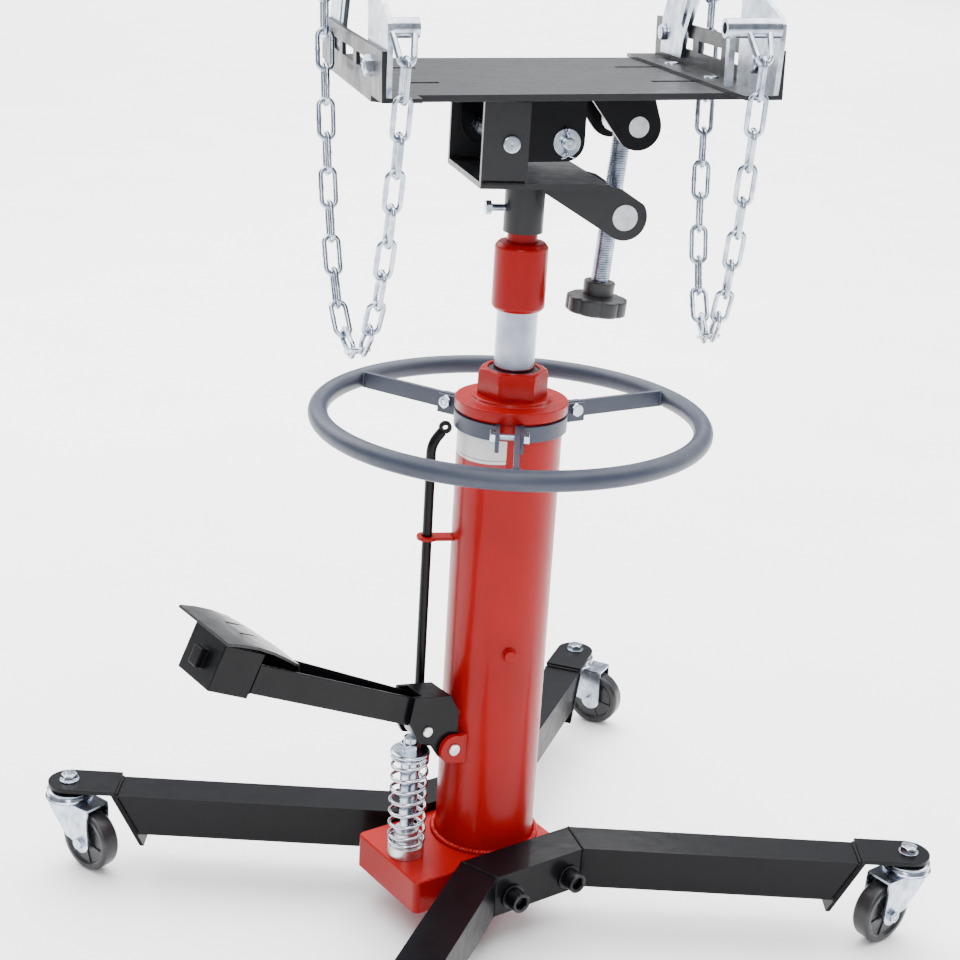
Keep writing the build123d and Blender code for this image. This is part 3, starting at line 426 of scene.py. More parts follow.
def smooth_path(points, steps=6, closed=False):
    """Catmull-Rom points through the given ones."""
    pts = [Vector(p) for p in points]
    n = len(pts)
    out = []
    for i in range(n if closed else n - 1):
        p0 = pts[i - 1] if (closed or i > 0) else pts[0] * 2 - pts[1]
        p1, p2 = pts[i], pts[(i + 1) % n]
        p3 = pts[(i + 2) % n] if (closed or i + 2 < n) else pts[-1] * 2 - pts[-2]
        for k in range(steps):
            t = k / steps
            out.append(0.5 * ((2 * p1) + (p2 - p0) * t + (2 * p0 - 5 * p1 + 4 * p2 - p3) * t * t
                              + (3 * p1 - p0 - 3 * p2 + p3) * t ** 3))
    if not closed:
        out.append(pts[-1])
    return out


def prism(bm, outline, h, matrix=I4):
    """Closed 2-D outline extruded from z = 0 to h."""
    low = [bm.verts.new(matrix @ Vector((x, y, 0))) for x, y in outline]
    high = [bm.verts.new(matrix @ Vector((x, y, h))) for x, y in outline]
    n = len(outline)
    bm.faces.new(low[::-1])
    bm.faces.new(high)
    for i in range(n):
        bm.faces.new((low[i], low[(i + 1) % n], high[(i + 1) % n], high[i]))


def slab(bm, x0, x1, y0, y1, z0, z1, matrix=I4):
    prism(bm, [(x0, y0), (x1, y0), (x1, y1), (x0, y1)], z1 - z0, matrix @ at(0, 0, z0))


def circle(r, z, count):
    """Points of a level circle about the Z axis."""
    turns = [2 * math.pi * k / count for k in range(count)]
    return [(r * math.cos(a), r * math.sin(a), z) for a in turns]


def weld_bead(bm, points, r, matrix=I4, closed=False, ripple=2.6):
    """Stacked-ripple weld bead along a path."""
    pts = [matrix @ Vector(p) for p in points]
    dense = []
    count = len(pts) if closed else len(pts) - 1
    for i in range(count):
        a, b = pts[i], pts[(i + 1) % len(pts)]
        steps = max(2, int((b - a).length / (ripple / 4)))
        dense += [a.lerp(b, k / steps) for k in range(steps)]
    if not closed:
        dense.append(pts[-1])
    travelled, radii, moved = 0.0, [], []
    for i, p in enumerate(dense):
        if i:
            travelled += (p - dense[i - 1]).length
        phase = (travelled / ripple) % 1.0
        end = 1.0 if closed else min(1.0, 0.35 + min(i, len(dense) - 1 - i) * 0.25)
        scallop = 0.26 * math.sqrt(max(0.0, 1 - (2 * phase - 1) ** 2))
        radii.append(r * end * (0.84 + scallop + random.uniform(-0.05, 0.05)))
        moved.append(p + Vector([random.uniform(-0.12, 0.12) for _ in range(3)]))
    tube_along(bm, moved, radii, 10, closed)


def piece(name, body, slot, build, replaces=(), bevel=0.0, matrix=I4, **extra):
    bm = bmesh.new()
    build(bm)
    return emit(name, bm, body, slot, replaces, bevel, matrix=matrix, **extra)


# ---- column -----------------------------------------------------------------------------
COL_R, COL_TOP, BLOCK_TOP = 57.15, 604.0, 86.0
from_cad("base_block", 1.6, segments=3)


def column(bm):
    turned(bm, [(52.65, BLOCK_TOP), (COL_R, BLOCK_TOP), (COL_R, COL_TOP), (52.65, COL_TOP)], r=0.6, seg=160)
    weld_bead(bm, circle(60.2, BLOCK_TOP + 1.6, 90), 3.3, closed=True, ripple=3.2)
    weld_bead(bm, circle(58.3, COL_TOP - 0.6, 90), 1.0, closed=True, ripple=2.4)


piece("column_tube", "base", "red_paint", column, ["reservoir_tube"])
piece("column_cap", "base", "red_paint", lambda bm: turned(
    bm, [(30.2, 594), (52.5, 594), (52.5, 604.1), (61.5, 604.1), (61.5, 616), (44, 616), (42, 620),
         (30.2, 620)], r=1.4, seg=160), ["top_cap"])


def gland(bm):
    hex_head(bm, at(0, 0, 620), 66.0, 30.0, bore=28.0, seg=144)
    turned(bm, [(22.3, 578), (30, 578), (30, 621), (28.4, 643), (22.3, 643)], r=0.4)


piece("gland_nut_shape", "base", "red_paint", gland, ["gland_nut"])
piece("wiper_ring", "base", "seal", lambda bm: turned(
    bm, [(22.25, 643), (28, 643), (28, 647.8), (24.6, 647.8), (22.25, 649)], r=0.5), ["wiper_seal"])
PLUG = along(Vector((-0.361, -0.9326, 0)) * (COL_R + 0.4) + Vector((0, 0, 336)), (-0.361, -0.9326, 0))


def plug(bm):
    turned(bm, [(0, -6), (6, -6), (6, 0), (0, 0)], PLUG, 0.3, 48)
    hex_head(bm, PLUG, 13.0, 6.0)
    turned(bm, [(0, 0), (8.5, 0), (8.5, 1.6), (0, 1.6)], PLUG, 0.5, 48)


piece("filler_plug", "base", "red_paint", plug, ["fill_plug"])

# blank information label, wrapped on the tube
LABEL_A0, LABEL_A1, LABEL_Z0, LABEL_Z1 = 150.0, 231.0, 546.0, 583.6


def label(bm):
    rows = []
    for i in range(13):
        z = LABEL_Z0 + (LABEL_Z1 - LABEL_Z0) * i / 12
        rows.append([Vector(((COL_R + 0.12) * math.cos(a), (COL_R + 0.12) * math.sin(a), z))
                     for a in (math.radians(LABEL_A0 + (LABEL_A1 - LABEL_A0) * j / 40) for j in range(41))])
    grid(bm, rows, False)
    bmesh.ops.solidify(bm, geom=bm.faces[:], thickness=0.15)


def label_material():
    mat, tree, bsdf, coords = shader("blank label", (0.9, 0.9, 0.9), rough=0.3, coat=0.4)
    sep = tree.nodes.new("ShaderNodeSeparateXYZ")
    tree.links.new(coords.outputs["Object"], sep.inputs["Vector"])
    wave = tree.nodes.new("ShaderNodeMath")
    wave.operation = "MULTIPLY_ADD"
    wave.inputs[1].default_value = -0.18
    tree.links.new(sep.outputs["X"], wave.inputs[0])
    tree.links.new(sep.outputs["Z"], wave.inputs[2])
    node = tree.nodes.new("ShaderNodeValToRGB")
    red, white, grey = (0.5, 0.006, 0.01, 1), (0.93, 0.93, 0.94, 1), (0.30, 0.30, 0.32, 1)
    node.color_ramp.interpolation = "CONSTANT"
    shades = node.color_ramp.elements
    shades[0].position, shades[0].color = 0.0, red
    shades[1].position, shades[1].color = 0.26, white
    for position, color in ((0.33, grey), (0.35, white)):
        extra = shades.new(position)
        extra.color = color
    span = tree.nodes.new("ShaderNodeMapRange")
    span.inputs["From Min"].default_value = 0.552
    span.inputs["From Max"].default_value = 0.600
    tree.links.new(wave.outputs["Value"], span.inputs["Value"])
    tree.links.new(span.outputs["Result"], node.inputs["Fac"])
    tree.links.new(node.outputs["Color"], bsdf.inputs["Base Color"])
    tree.links.new(spread(tree, noise(tree, coords, 60.0), 0.22, 0.4), bsdf.inputs["Roughness"])
    return mat


MAT["label"] = label_material()
label_piece = piece("blank_label", "base", "label", label)

# ---- legs -------------------------------------------------------------------------------
for node in ("front_leg_frame", "rear_leg_frame"):
    from_cad(node, 1.3, segments=2)
CASTER_X, CASTER_Y, BEAM_MID, BEAM_Y = 384.0, 314.0, 69.0, 87.0
BEAM_Z0, BEAM_Z1, END_GAP, END_SLANT, TAB_T = 46.5, 96.5, 59.0, 26.0, 5.0
LEG = Vector((CASTER_X - BEAM_MID, CASTER_Y - BEAM_Y, 0))
LEG_ANGLE = math.degrees(math.atan2(LEG.y, LEG.x))
SCREW_XS, SCREW_Z, BEAM_OUT = (-38.0, 42.0), 66.0, 111.0


def leg_welds(side):
    def build(bm):
        for flip in (-1, 1):
            turn = LEG_ANGLE if flip > 0 else 180 - LEG_ANGLE
            m = at(flip * CASTER_X, CASTER_Y, 0) @ rot("Z", turn)
            slope = END_SLANT / 50.0
            x0, x1 = -END_GAP, -END_GAP - slope * (BEAM_Z1 - BEAM_Z0)
            for y in (-24, 24):
                weld_bead(bm, [(x1 - 0.6, y, BEAM_Z0 + 0.5), (x0 - 0.6, y, BEAM_Z1 - 0.5)], 2.3, m)
            weld_bead(bm, [(x0 - 0.4, -24, BEAM_Z1), (x0 - 0.4, 24, BEAM_Z1)], 2.6, m, ripple=3.2)
            weld_bead(bm, [(x1, -24, BEAM_Z0), (x1, 24, BEAM_Z0)], 2.2, m)
            x = flip * BEAM_MID
            half = LEG_ANGLE / 2
            k = math.tan(math.radians(half)) * 24
            a, b = (x + flip * k, BEAM_Y - 24), (x - flip * k, BEAM_Y + 24)
            weld_bead(bm, [(a[0], a[1], BEAM_Z1 + 0.1), (b[0], b[1], BEAM_Z1 + 0.1)], 1.5, I4, ripple=3.0)
            weld_bead(bm, [(b[0], b[1], BEAM_Z1), (b[0], b[1], BEAM_Z0)], 1.6, I4, ripple=3.0)
        if side < 0:
            bmesh.ops.transform(bm, matrix=Matrix.Scale(-1, 4, (0, 1, 0)), verts=bm.verts)
            bmesh.ops.reverse_faces(bm, faces=bm.faces)
    return build


piece("front_leg_welds", "base", "black_paint", leg_welds(-1))
piece("rear_leg_welds", "base", "black_paint", leg_welds(1))


def socket_screws(bm):
    for side in (-1, 1):
        for x in SCREW_XS:
            m = along((x, side * BEAM_OUT, SCREW_Z), (0, side, 0))
            turned(bm, [(8.3, 0), (14.5, 0), (14.5, 3), (8.3, 3)], m, 0.5, 64)
            turned(bm, [(0, -71), (7.9, -71), (7.9, 3.1), (0, 3.1)], m, 0.4, 48)

            def knurl(t, r, z):
                if r > 11.2 and 5.0 < z < 17.0:
                    return r + 0.22 * (1 if int(t / (2 * math.pi) * 96 + 0.01) % 2 else -1)
                return r
            head = [(7.2, 3), (11.5, 3), (11.5, 4.6), (11.5, 17.4), (11.5, 19), (8.1, 19), (7.6, 18.4)]
            soft = ring_of(head, 0.9)
            lathe(bm, soft, m, 192, knurl)
            rows, turns = [], [2 * math.pi * j / 72 for j in range(72)]
            for r_scale, z in ((1.08, 18.4), (1.0, 17.8), (1.0, 11.0), (0.02, 9.6)):
                radii = [hex_r(14.0, t) * r_scale for t in turns]
                rows.append([m @ Vector((r * math.cos(t), r * math.sin(t), z)) for r, t in zip(radii, turns)])
            rows.append([m @ Vector((7.6 * math.cos(t), 7.6 * math.sin(t), 3.2)) for t in turns])
            grid(bm, rows)


piece("socket_head_screws", "base", "black_steel", socket_screws, ["leg_screws"])

# ---- casters ----------------------------------------------------------------------------
CASTERS = {"rear_left": (-1, 1, -72), "front_right": (1, -1, 182), "rear_right": (1, 1, -62),
           "front_left": (-1, -1, 100)}
WHEEL_R, WHEEL_W, TRAIL, HEAD_TOP = 37.5, 24.0, 36.0, 96.2
FORK_IN, FORK_T = 14.0, 2.5


def fork(bm):
    """Pressed fork: a crown that drapes into two tapering cheeks."""
    top = HEAD_TOP - 12
    levels = 22
    for side in (-1, 1):
        outer = []
        for i in range(levels + 1):
            t = i / levels
            z = top - 1.0 - t * (top - 1.0 - (WHEEL_R - 12.6))
            front = -23.6 + max(0.0, t - 0.12) / 0.88 * (TRAIL - 12.9 + 23.6)
            back = TRAIL + 12.3
            if z < WHEEL_R:
                dz = WHEEL_R - z
                reach = math.sqrt(max(0.2, 13.0 ** 2 - dz ** 2))
                front, back = TRAIL - reach, TRAIL + reach
            bulge = 1.2 * math.sin(math.pi * min(1.0, t * 1.6))
            y = side * (FORK_IN + bulge * 0.8)
            row_out, row_in = [], []
            for k in range(13):
                u = k / 12
                x = front + (back - front) * u
                crown = 0.9 * math.sin(math.pi * u) ** 0.6
                row_out.append(Vector((x, y + side * (FORK_T + crown * (1 - t * 0.5)), z)))
                row_in.append(Vector((x, y + side * crown * 0.4, z)))
            outer.append(row_out + row_in[::-1])
        verts = grid(bm, outer, True, False)
        cap(bm, verts[0][::-1])
        cap(bm, verts[-1])
    lower_race = [(6.2, top - 3), (28.4, top - 3), (28.9, top - 1.2), (26.4, top + 0.4), (25.2, top + 3.0),
                  (24.0, top + 4.4), (6.2, top + 4.4)]
    upper_race = [(6.2, top + 4.6), (22.8, top + 4.6), (26.4, top + 5.6), (26.8, top + 7.4),
                  (21.0, HEAD_TOP - 2.4), (16.0, HEAD_TOP), (6.2, HEAD_TOP)]
    turned(bm, lower_race, r=1.0, seg=80)
    turned(bm, upper_race, r=1.1, seg=80)
    outline = ring_of([(-23.6, -17), (TRAIL + 12.3, -17), (TRAIL + 12.3, 17), (-23.6, 17)], 3, 4)
    prism(bm, outline, 2.6, at(0, 0, top - 3.2))


def axle(bm):
    y = FORK_IN + FORK_T + 0.5
    m = along((TRAIL, -y, WHEEL_R), (0, -1, 0))
    hex_head(bm, m, 13.0, 5.0, washer=7.5)
    m = along((TRAIL, y, WHEEL_R), (0, 1, 0))
    hex_head(bm, m, 13.0, 5.0, bore=3.9, washer=7.5)
    thread(bm, along((TRAIL, 0, WHEEL_R), (0, 1, 0)), 3.95, 1.25, 0, y + 5.2)
    turned(bm, [(0, -y), (4, -y), (4, 4), (0, 4)], along((TRAIL, 0, WHEEL_R), (0, 1, 0)), 0.2, 32)


def wheel(bm):
    m = along((TRAIL, 0, WHEEL_R), (0, 1, 0))
    half = WHEEL_W / 2
    rim = WHEEL_R - 7.5
    outline = [(4.06, -half + 0.4), (9.4, -half + 0.4), (9.4, -half + 3.4), (rim - 3, -half + 3.6),
               (rim, -half + 0.2), (rim + 4.6, -half + 0.2), (WHEEL_R - 0.1, -half + 3.4), (WHEEL_R, 0),
               (WHEEL_R - 0.1, half - 3.4), (rim + 4.6, half - 0.2), (rim, half - 0.2), (rim - 3, half - 3.6),
               (9.4, half - 3.4), (9.4, half - 0.4), (4.06, half - 0.4)]
    turned(bm, outline, m, 1.2, 120)
    for side in (-1, 1):
        for k in range(6):
            rib = m @ rot("Z", 60 * k + 12)
            z0, z1 = sorted((side * (half - 4.0), side * (half - 1.9)))
            slab(bm, 8.8, rim - 1.8, -0.9, 0.9, z0, z1, rib)


for name, (sx, sy, heading) in CASTERS.items():
    place = at(sx * CASTER_X, sy * CASTER_Y, 0) @ rot("Z", heading)
    piece(name + "_pressed_fork", name + "_caster", "zinc", fork, [name + "_fork"], matrix=place)
    piece(name + "_axle_bolt", name + "_caster", "zinc", axle, matrix=place)
    piece(name + "_roller_wheel", name + "_wheel", "wheel_plastic", wheel, [name + "_wheel"], matrix=place)


def stems(bm):
    for sx, sy, _ in CASTERS.values():
        m = at(sx * CASTER_X, sy * CASTER_Y, 0)
        up = m @ at(0, 0, BEAM_Z1 + TAB_T)
        turned(bm, [(6.4, 0), (11.5, 0), (11.5, 1.8), (6.4, 1.8)], up, 0.4, 48)
        hex_head(bm, up @ at(0, 0, 1.8), 17.0, 6.6, bore=5.9)
        thread(bm, m, 5.95, 1.75, HEAD_TOP - 20, BEAM_Z1 + TAB_T + 9)
        foot, brim = HEAD_TOP - 22, HEAD_TOP - 15.5
        turned(bm, [(0, foot), (9.6, foot), (9.6, brim), (0, brim)], m, 0.8, 48)


piece("caster_stems", "base", "zinc", stems, ["caster_stem_bolts"])

# ---- push ring --------------------------------------------------------------------------
BAND_T, RING_R, RING_TUBE, RING_Z, BOLT_R, BOLT_Z, SPOKE_T = 4.5, 208.5, 10.8, 594.0, 79.65, 596.0, 5.4
SPOKES = ((111.0, 2.8), (355.0, 2.8), (233.0, 10.5))
from_cad("clamp_band", 0.7)


def ring(bm):
    tube_along(bm, circle(RING_R, RING_Z, 240), RING_TUBE, 40, True, up=(0, 0, 1))


def spokes(bm):
    for a, gap in SPOKES:
        end = RING_R - RING_TUBE + 2.5
        corners = [(62.7, BOLT_Z - 10), (end, BOLT_Z - 10), (end, BOLT_Z + 8), (62.7, BOLT_Z + 8)]
        prism(bm, ring_of(corners, 1.2, 3), SPOKE_T, rot("Z", a) @ at(0, gap - 0.1, 0) @ rot("X", 90))


def spoke_welds(bm):
    for a, gap in SPOKES:
        m, x = rot("Z", a), RING_R - RING_TUBE
        for y in (gap - SPOKE_T, gap):
            weld_bead(bm, [(x - 0.2, y, BOLT_Z - 9), (x + 0.9, y, RING_Z), (x - 0.2, y, BOLT_Z + 8)], 1.9, m)


piece("ring_tube", "base", "grey_powder", ring, ["push_ring"])
piece("ring_spokes", "base", "grey_powder", spokes, bevel=0.7)
piece("ring_spoke_welds", "base", "grey_powder", spoke_welds)


def ring_bolt_set(bm):
    for a, gap in SPOKES:
        m, y, z = rot("Z", a), gap + BAND_T, BOLT_Z
        hex_head(bm, m @ along((BOLT_R, -y, z), (0, -1, 0)), 13.0, 5.4)
        hex_head(bm, m @ along((BOLT_R, y, z), (0, 1, 0)), 13.0, 5.6, bore=3.9)
        thread(bm, m @ along((BOLT_R, 0, z), (0, 1, 0)), 3.95, 1.25, -y, y + 5.5)


piece("ring_clamp_bolts", "base", "zinc", ring_bolt_set, ["ring_bolts"])

# ---- foot pump --------------------------------------------------------------------------
PUMP_X, PUMP_CAP_Z, SEAT_Z = -110.0, 218.0, 100.0
PIVOT_PED, LINK_PED = (-69.0, 219.0), (-102.0, 247.0)
from_cad("pedal_lugs", 1.2)
from_cad("pedal_bracket", 1.0)
from_cad("pedal_arm", 1.0)


def riveted_pin(bm, x, z, half, r, head):
    turned(bm, [(0, -half), (r, -half), (r, half), (0, half)], along((x, 0, z), (0, 1, 0)), 1.0, 56)
    for side in (-1, 1):
        m = along((x, side * half, z), (0, side, 0))
        turned(bm, [(0, -0.4), (r * head, -0.4), (r * head * 0.96, 0.5), (0, 0.9)], m, 0.5, 56)


piece("pedal_pivot", "base", "steel", lambda bm: riveted_pin(bm, *PIVOT_PED, 28.4, 7.0, 0.98),
      ["pedal_pivot_pin"])


def roller(bm):
    riveted_pin(bm, *LINK_PED, 22.0, 6.0, 0.98)
    m = along((LINK_PED[0], 0, LINK_PED[1]), (0, 1, 0))
    turned(bm, [(6.06, -10), (12, -10), (12, 10), (6.06, 10)], m, 1.0, 64)


piece("push_roller_shape", "pedal", "steel", roller, ["push_roller"])


def pump(bm):
    m = at(PUMP_X, 0, 0)
    barrel = [(8.06, 62), (14, 62), (14, 86), (21, 86), (21, 99.6), (14, 99.6), (14, 118), (8.06, 118)]
    turned(bm, barrel, m, 0.8, 72)


def plunger(bm):
    m = at(PUMP_X, 0, 0)
    turned(bm, [(0, 84), (8, 84), (8, 234.4), (0, 234.4)], m, 1.2, 56)
    hex_head(bm, m @ at(0, 0, PUMP_CAP_Z), 21.0, 9.0)
    turned(bm, [(7.9, 138), (10.4, 138), (10.4, 213), (7.9, 213)], m, 0.8, 64)


piece("pump_barrel", "base", "steel", pump, ["pump_cylinder"])
piece("plunger_rod", "plunger", "zinc", plunger, ["pump_plunger"])
piece("spring_cap", "plunger", "zinc", lambda bm: turned(
    bm, [(8.02, 214), (22.5, 214), (22.5, 216.6), (20.5, 218), (8.02, 218)], at(PUMP_X, 0, 0), 0.9, 96),
    ["spring_washer"])


def spring(bm):
    """Coil with closed, ground ends."""
    wire, radius, z0, z1, turns = 2.0, 20.0, SEAT_Z, PUMP_CAP_Z - 4, 9.0
    steps = int(turns * 48)
    low, high = z0 + wire * 0.9, z1 - wire * 0.9
    end, points = 1.0, []
    pitch_end = wire * 2.05
    free = (high - low) - 2 * end * pitch_end
    for i in range(steps + 1):
        n = turns * i / steps
        if n < end:
            z = low + pitch_end * n * 0.9
        elif n > turns - end:
            z = high - pitch_end * (turns - n) * 0.9
        else:
            t = (n - end) / (turns - 2 * end)
            z = low + pitch_end * 0.9 + (free + 0.2 * pitch_end) * t
        a = 2 * math.pi * n + 0.6
        points.append(Vector((PUMP_X + radius * math.cos(a), radius * math.sin(a), z)))
    tube_along(bm, points, wire, 16)


coil = piece("pump_coil", "base", "spring_steel", spring, ["pump_spring"])

from_cad("foot_plate", 0.8)

# ---- release rod ------------------------------------------------------------------------
ROD = Vector((-77, 36, 0))
EYE = ROD + Vector((12.5, -6, 582))


def release(bm):
    straight = [ROD + Vector((0, 0, 70)), ROD + Vector((0, 0, 300))]
    bend = [ROD + Vector((0, 0, 540)), ROD + Vector((0, 0, 556)), ROD + Vector((3.2, -1.5, 567)),
            EYE - Vector((3.0, -1.5, 5))]
    tube_along(bm, straight + smooth_path(bend, 8), 5.5, 28)
    side = Vector((-6, -12.5, 0)).normalized()
    m = along(EYE - side * 2.6, side)
    turned(bm, [(2.6, 0), (7.2, 0), (7.2, 5.2), (2.6, 5.2)], m, 1.3, 48)


piece("release_handle", "release_rod", "black_paint", release, ["release_rod"])


def valve(bm):
    m = at(ROD.x, ROD.y, 0)
    turned(bm, [(5.6, 66), (8, 66), (8, 98), (5.6, 98)], m, 0.5, 56)
    hex_head(bm, m @ at(0, 0, 86), 20.0, 8.0, bore=7.9)


piece("release_gland", "base", "steel", valve, ["release_valve"])
from_cad("rod_guide", 0.9)

# ---- rams -------------------------------------------------------------------------------
piece("chrome_tube", "first_ram", "chrome_ram", lambda bm: turned(
    bm, [(16.6, 160), (22, 160), (22, 720), (16.6, 720)], r=0.5, seg=144), ["first_ram"])
piece("collar_shape", "first_ram", "red_paint", lambda bm: turned(
    bm, [(16.3, 720), (22.05, 720), (22.05, 714), (24.6, 714), (28.5, 718), (28.5, 782), (24.5, 787),
         (16.3, 787)], r=1.6, seg=128), ["ram_collar"])
piece("inner_ram", "second_ram", "red_ram", lambda bm: turned(
    bm, [(0, 182), (16, 182), (16, 797), (13, 797), (13, 850.5), (0, 850.5)], r=0.8, seg=96), ["second_ram"])

# ---- yoke -------------------------------------------------------------------------------
from_cad("saddle_yoke", 0.9)
YOKE_Y, YOKE_Z0 = 76.0, 854.5


def yoke_welds(bm):
    for side in (-1, 1):
        for reach, lift, r in ((0.2, 6.2, 1.8), (-6.3, 6.6, 1.9)):
            y, z = side * (YOKE_Y + reach), YOKE_Z0 + lift
            weld_bead(bm, [(-66, y, z), (-21, y, z)], r, HEAD)
        weld_bead(bm, [(10, side * 49.6, YOKE_Z0 - 0.2), (70, side * 49.6, YOKE_Z0 - 0.2)], 1.6, HEAD)
    weld_bead(bm, circle(21.8, YOKE_Z0 - 1, 48), 2.2, HEAD, True)


piece("yoke_weld_beads", "yoke", "black_paint", yoke_welds)


def lock_bolt(bm):
    m = HEAD @ along((-21, 0, 822), (-1, 0, 0))
    thread(bm, m, 3.95, 1.25, -8, 15)
    hex_head(bm, m @ at(0, 0, 15), 13.0, 6.0)


piece("socket_bolt", "yoke", "zinc", lock_bolt, ["socket_lock_bolt"])


def pivot_pin(bm):
    m = HEAD @ along((PIVOT.x, 0, PIVOT.z), (0, 1, 0))
    turned(bm, [(0, -79), (8.95, -79), (8.95, 79), (0, 79)], m, 1.6, 72)


piece("saddle_pivot_pin", "yoke", "zinc", pivot_pin, ["tilt_pivot_pin"])

# ---- tilt screw -------------------------------------------------------------------------
SCREW_DIR = (LOWER - UPPER).normalized()
ON_SCREW = HEAD @ along(UPPER, SCREW_DIR)


from_cad("lower_trunnion", 0.9)
from_cad("upper_trunnion", 0.9)


def screw(bm):
    thread(bm, ON_SCREW, 10.0, 2.5, 13.4, 172, depth=1.35, seg=40)
    turned(bm, [(0, -17), (6, -17), (6, 14), (0, 14)], ON_SCREW, 0.6, 40)
    hex_head(bm, ON_SCREW @ at(0, 0, -19.3), 17.0, 6.0)


def knob(bm):
    def lobes(t, r, z):
        if r < 20:
            return r
        return r * (0.93 + 0.07 * abs(math.cos(4.5 * t)) ** 0.6)
    turned(bm, [(10.2, 170), (15.4, 170), (17, 171.5), (16.2, 188), (10.2, 188)], ON_SCREW, 0.8, 96)
    grip = [(9.8, 185), (17, 185.6), (30, 187), (33.2, 188.4), (33.2, 203.4), (31, 205), (9.8, 205)]
    lathe(bm, ring_of(grip, 2.2, 4), ON_SCREW, 210, lobes)
    turned(bm, [(0, 186), (10, 186), (10, 203.6), (0, 203.6)], ON_SCREW, 0.5, 48)


piece("leadscrew", "tilt_screw", "zinc", screw, ["tilt_screw"])
piece("lobed_knob", "tilt_screw", "black_plastic", knob, ["star_knob"])

# ---- saddle -----------------------------------------------------------------------------
from_cad("saddle_plate", 0.9)
from_cad("saddle_hangers", 1.0)
PLATE_Z0, PLATE_Z1, HANG_X = 950.5, 956.5, 20.0


def hanger_welds(bm):
    for side in (-1, 1):
        for y in (side * (YOKE_Y - 13), side * (YOKE_Y - 6)):
            weld_bead(bm, [(-57, y, PLATE_Z0 + 0.2), (39, y, PLATE_Z0 + 0.2)], 1.7, SADDLE)
        for y in (side * 42.5, side * 49.5):
            weld_bead(bm, [(43, y, PLATE_Z0 + 0.2), (113, y, PLATE_Z0 + 0.2)], 1.7, SADDLE)


piece("hanger_weld_beads", "saddle", "black_paint", hanger_welds)


def clevis(bm):
    m = SADDLE @ along((HANG_X, 0, PIVOT.z), (0, -1, 0))
    turned(bm, [(0, -YOKE_Y + 3), (6, -YOKE_Y + 3), (6, YOKE_Y + 6.8), (0, YOKE_Y + 6.8)], m, 1.3, 56)
    near, far = -YOKE_Y + 2.5, -YOKE_Y + 6.5
    turned(bm, [(5.8, near), (10, near), (10, far), (5.8, far)], m, 0.9, 56)
    turned(bm, [(6.1, YOKE_Y - 6.3), (14, YOKE_Y - 6.3), (14, YOKE_Y - 4.4), (6.1, YOKE_Y - 4.4)], m, 0.4, 64)


piece("clevis_pin", "saddle", "zinc", clevis, ["cross_pin"])


def clip(bm):
    y, cz = -YOKE_Y - 1.0, PIVOT.z
    eye = [(HANG_X + 0.4, y, cz + 7), (HANG_X + 1.8, y, cz + 11), (HANG_X, y, cz + 14.5),
           (HANG_X - 1.8, y, cz + 11), (HANG_X - 0.4, y, cz + 7)]
    right_leg = [(HANG_X + 0.6, y, cz - 8), (HANG_X + 1.4, y - 1, cz - 12), (HANG_X + 6, y - 2.5, cz - 14)]
    left_leg = [(HANG_X - 0.6, y, cz - 8), (HANG_X - 3.2, y - 1.5, cz - 13), (HANG_X - 8, y - 3, cz - 14)]
    tube_along(bm, smooth_path(right_leg[::-1] + eye + left_leg, 8), 1.0, 12)


piece("spring_clip", "saddle", "zinc", clip, ["r_clip"], matrix=SADDLE)

# ---- rails and brackets -----------------------------------------------------------------
for side in ("left", "right"):
    from_cad(side + "_rail", 1.3, segments=3)
    from_cad(side + "_front_bracket", 0.8)
    from_cad(side + "_rear_bracket", 0.8)

RAIL_X, RAIL_T, BRACKET_X1 = 190.0, 4.0, 186.0
SLOT_Y, REAR_BOLT, FRONT_BOLT = (-60.0, 60.0), (118.0, 988.0), (-150.0, 984.0)


def rail_bolt_set(side):
    def build(bm):
        flip = SADDLE @ Matrix.Scale(side, 4, (1, 0, 0))
        for y in SLOT_Y:
            x = RAIL_X - 19
            top = flip @ at(x, y, PLATE_Z1 + RAIL_T)
            turned(bm, [(0, -0.2), (8, -0.2), (7.4, 1.4), (4.5, 2.0), (0, 2.0)], top, 0.4, 48)
            thread(bm, flip @ at(x, y, 0), 4.95, 1.5, PLATE_Z0 - 9, PLATE_Z1 + RAIL_T)
            hex_head(bm, flip @ at(x, y, PLATE_Z0 - 9.3), 15.0, 7.0, bore=4.9)
            low, high = PLATE_Z0 - 2.3, PLATE_Z0 - 0.3
            turned(bm, [(5.1, low), (10, low), (10, high), (5.1, high)], flip @ at(x, y, 0), 0.3, 48)
        for y, z in (REAR_BOLT, FRONT_BOLT):
            m = flip @ along((BRACKET_X1 - 5, y, z), (1, 0, 0))
            turned(bm, [(0, -5), (7.5, -5), (9, -3.5), (9, 0), (0, 0)], m, 0.7, 56)
            thread(bm, m, 4.95, 1.5, -1, 18)
            hex_head(bm, m @ at(0, 0, 9), 17.0, 7.4, bore=4.9)
    return build


LINK_D, LINK_IN, LINK_WIDE, CHAIN_LINKS, BAIL_DROP = 5.0, 34.2, 20.0, 21, 26.0
FRONT_BAILS, REAR_BAIL = {1: (160.0, -221.0, 1018.0), -1: (172.0, -221.0, 1018.0)}, (205.0, 41.0, 1052.0)


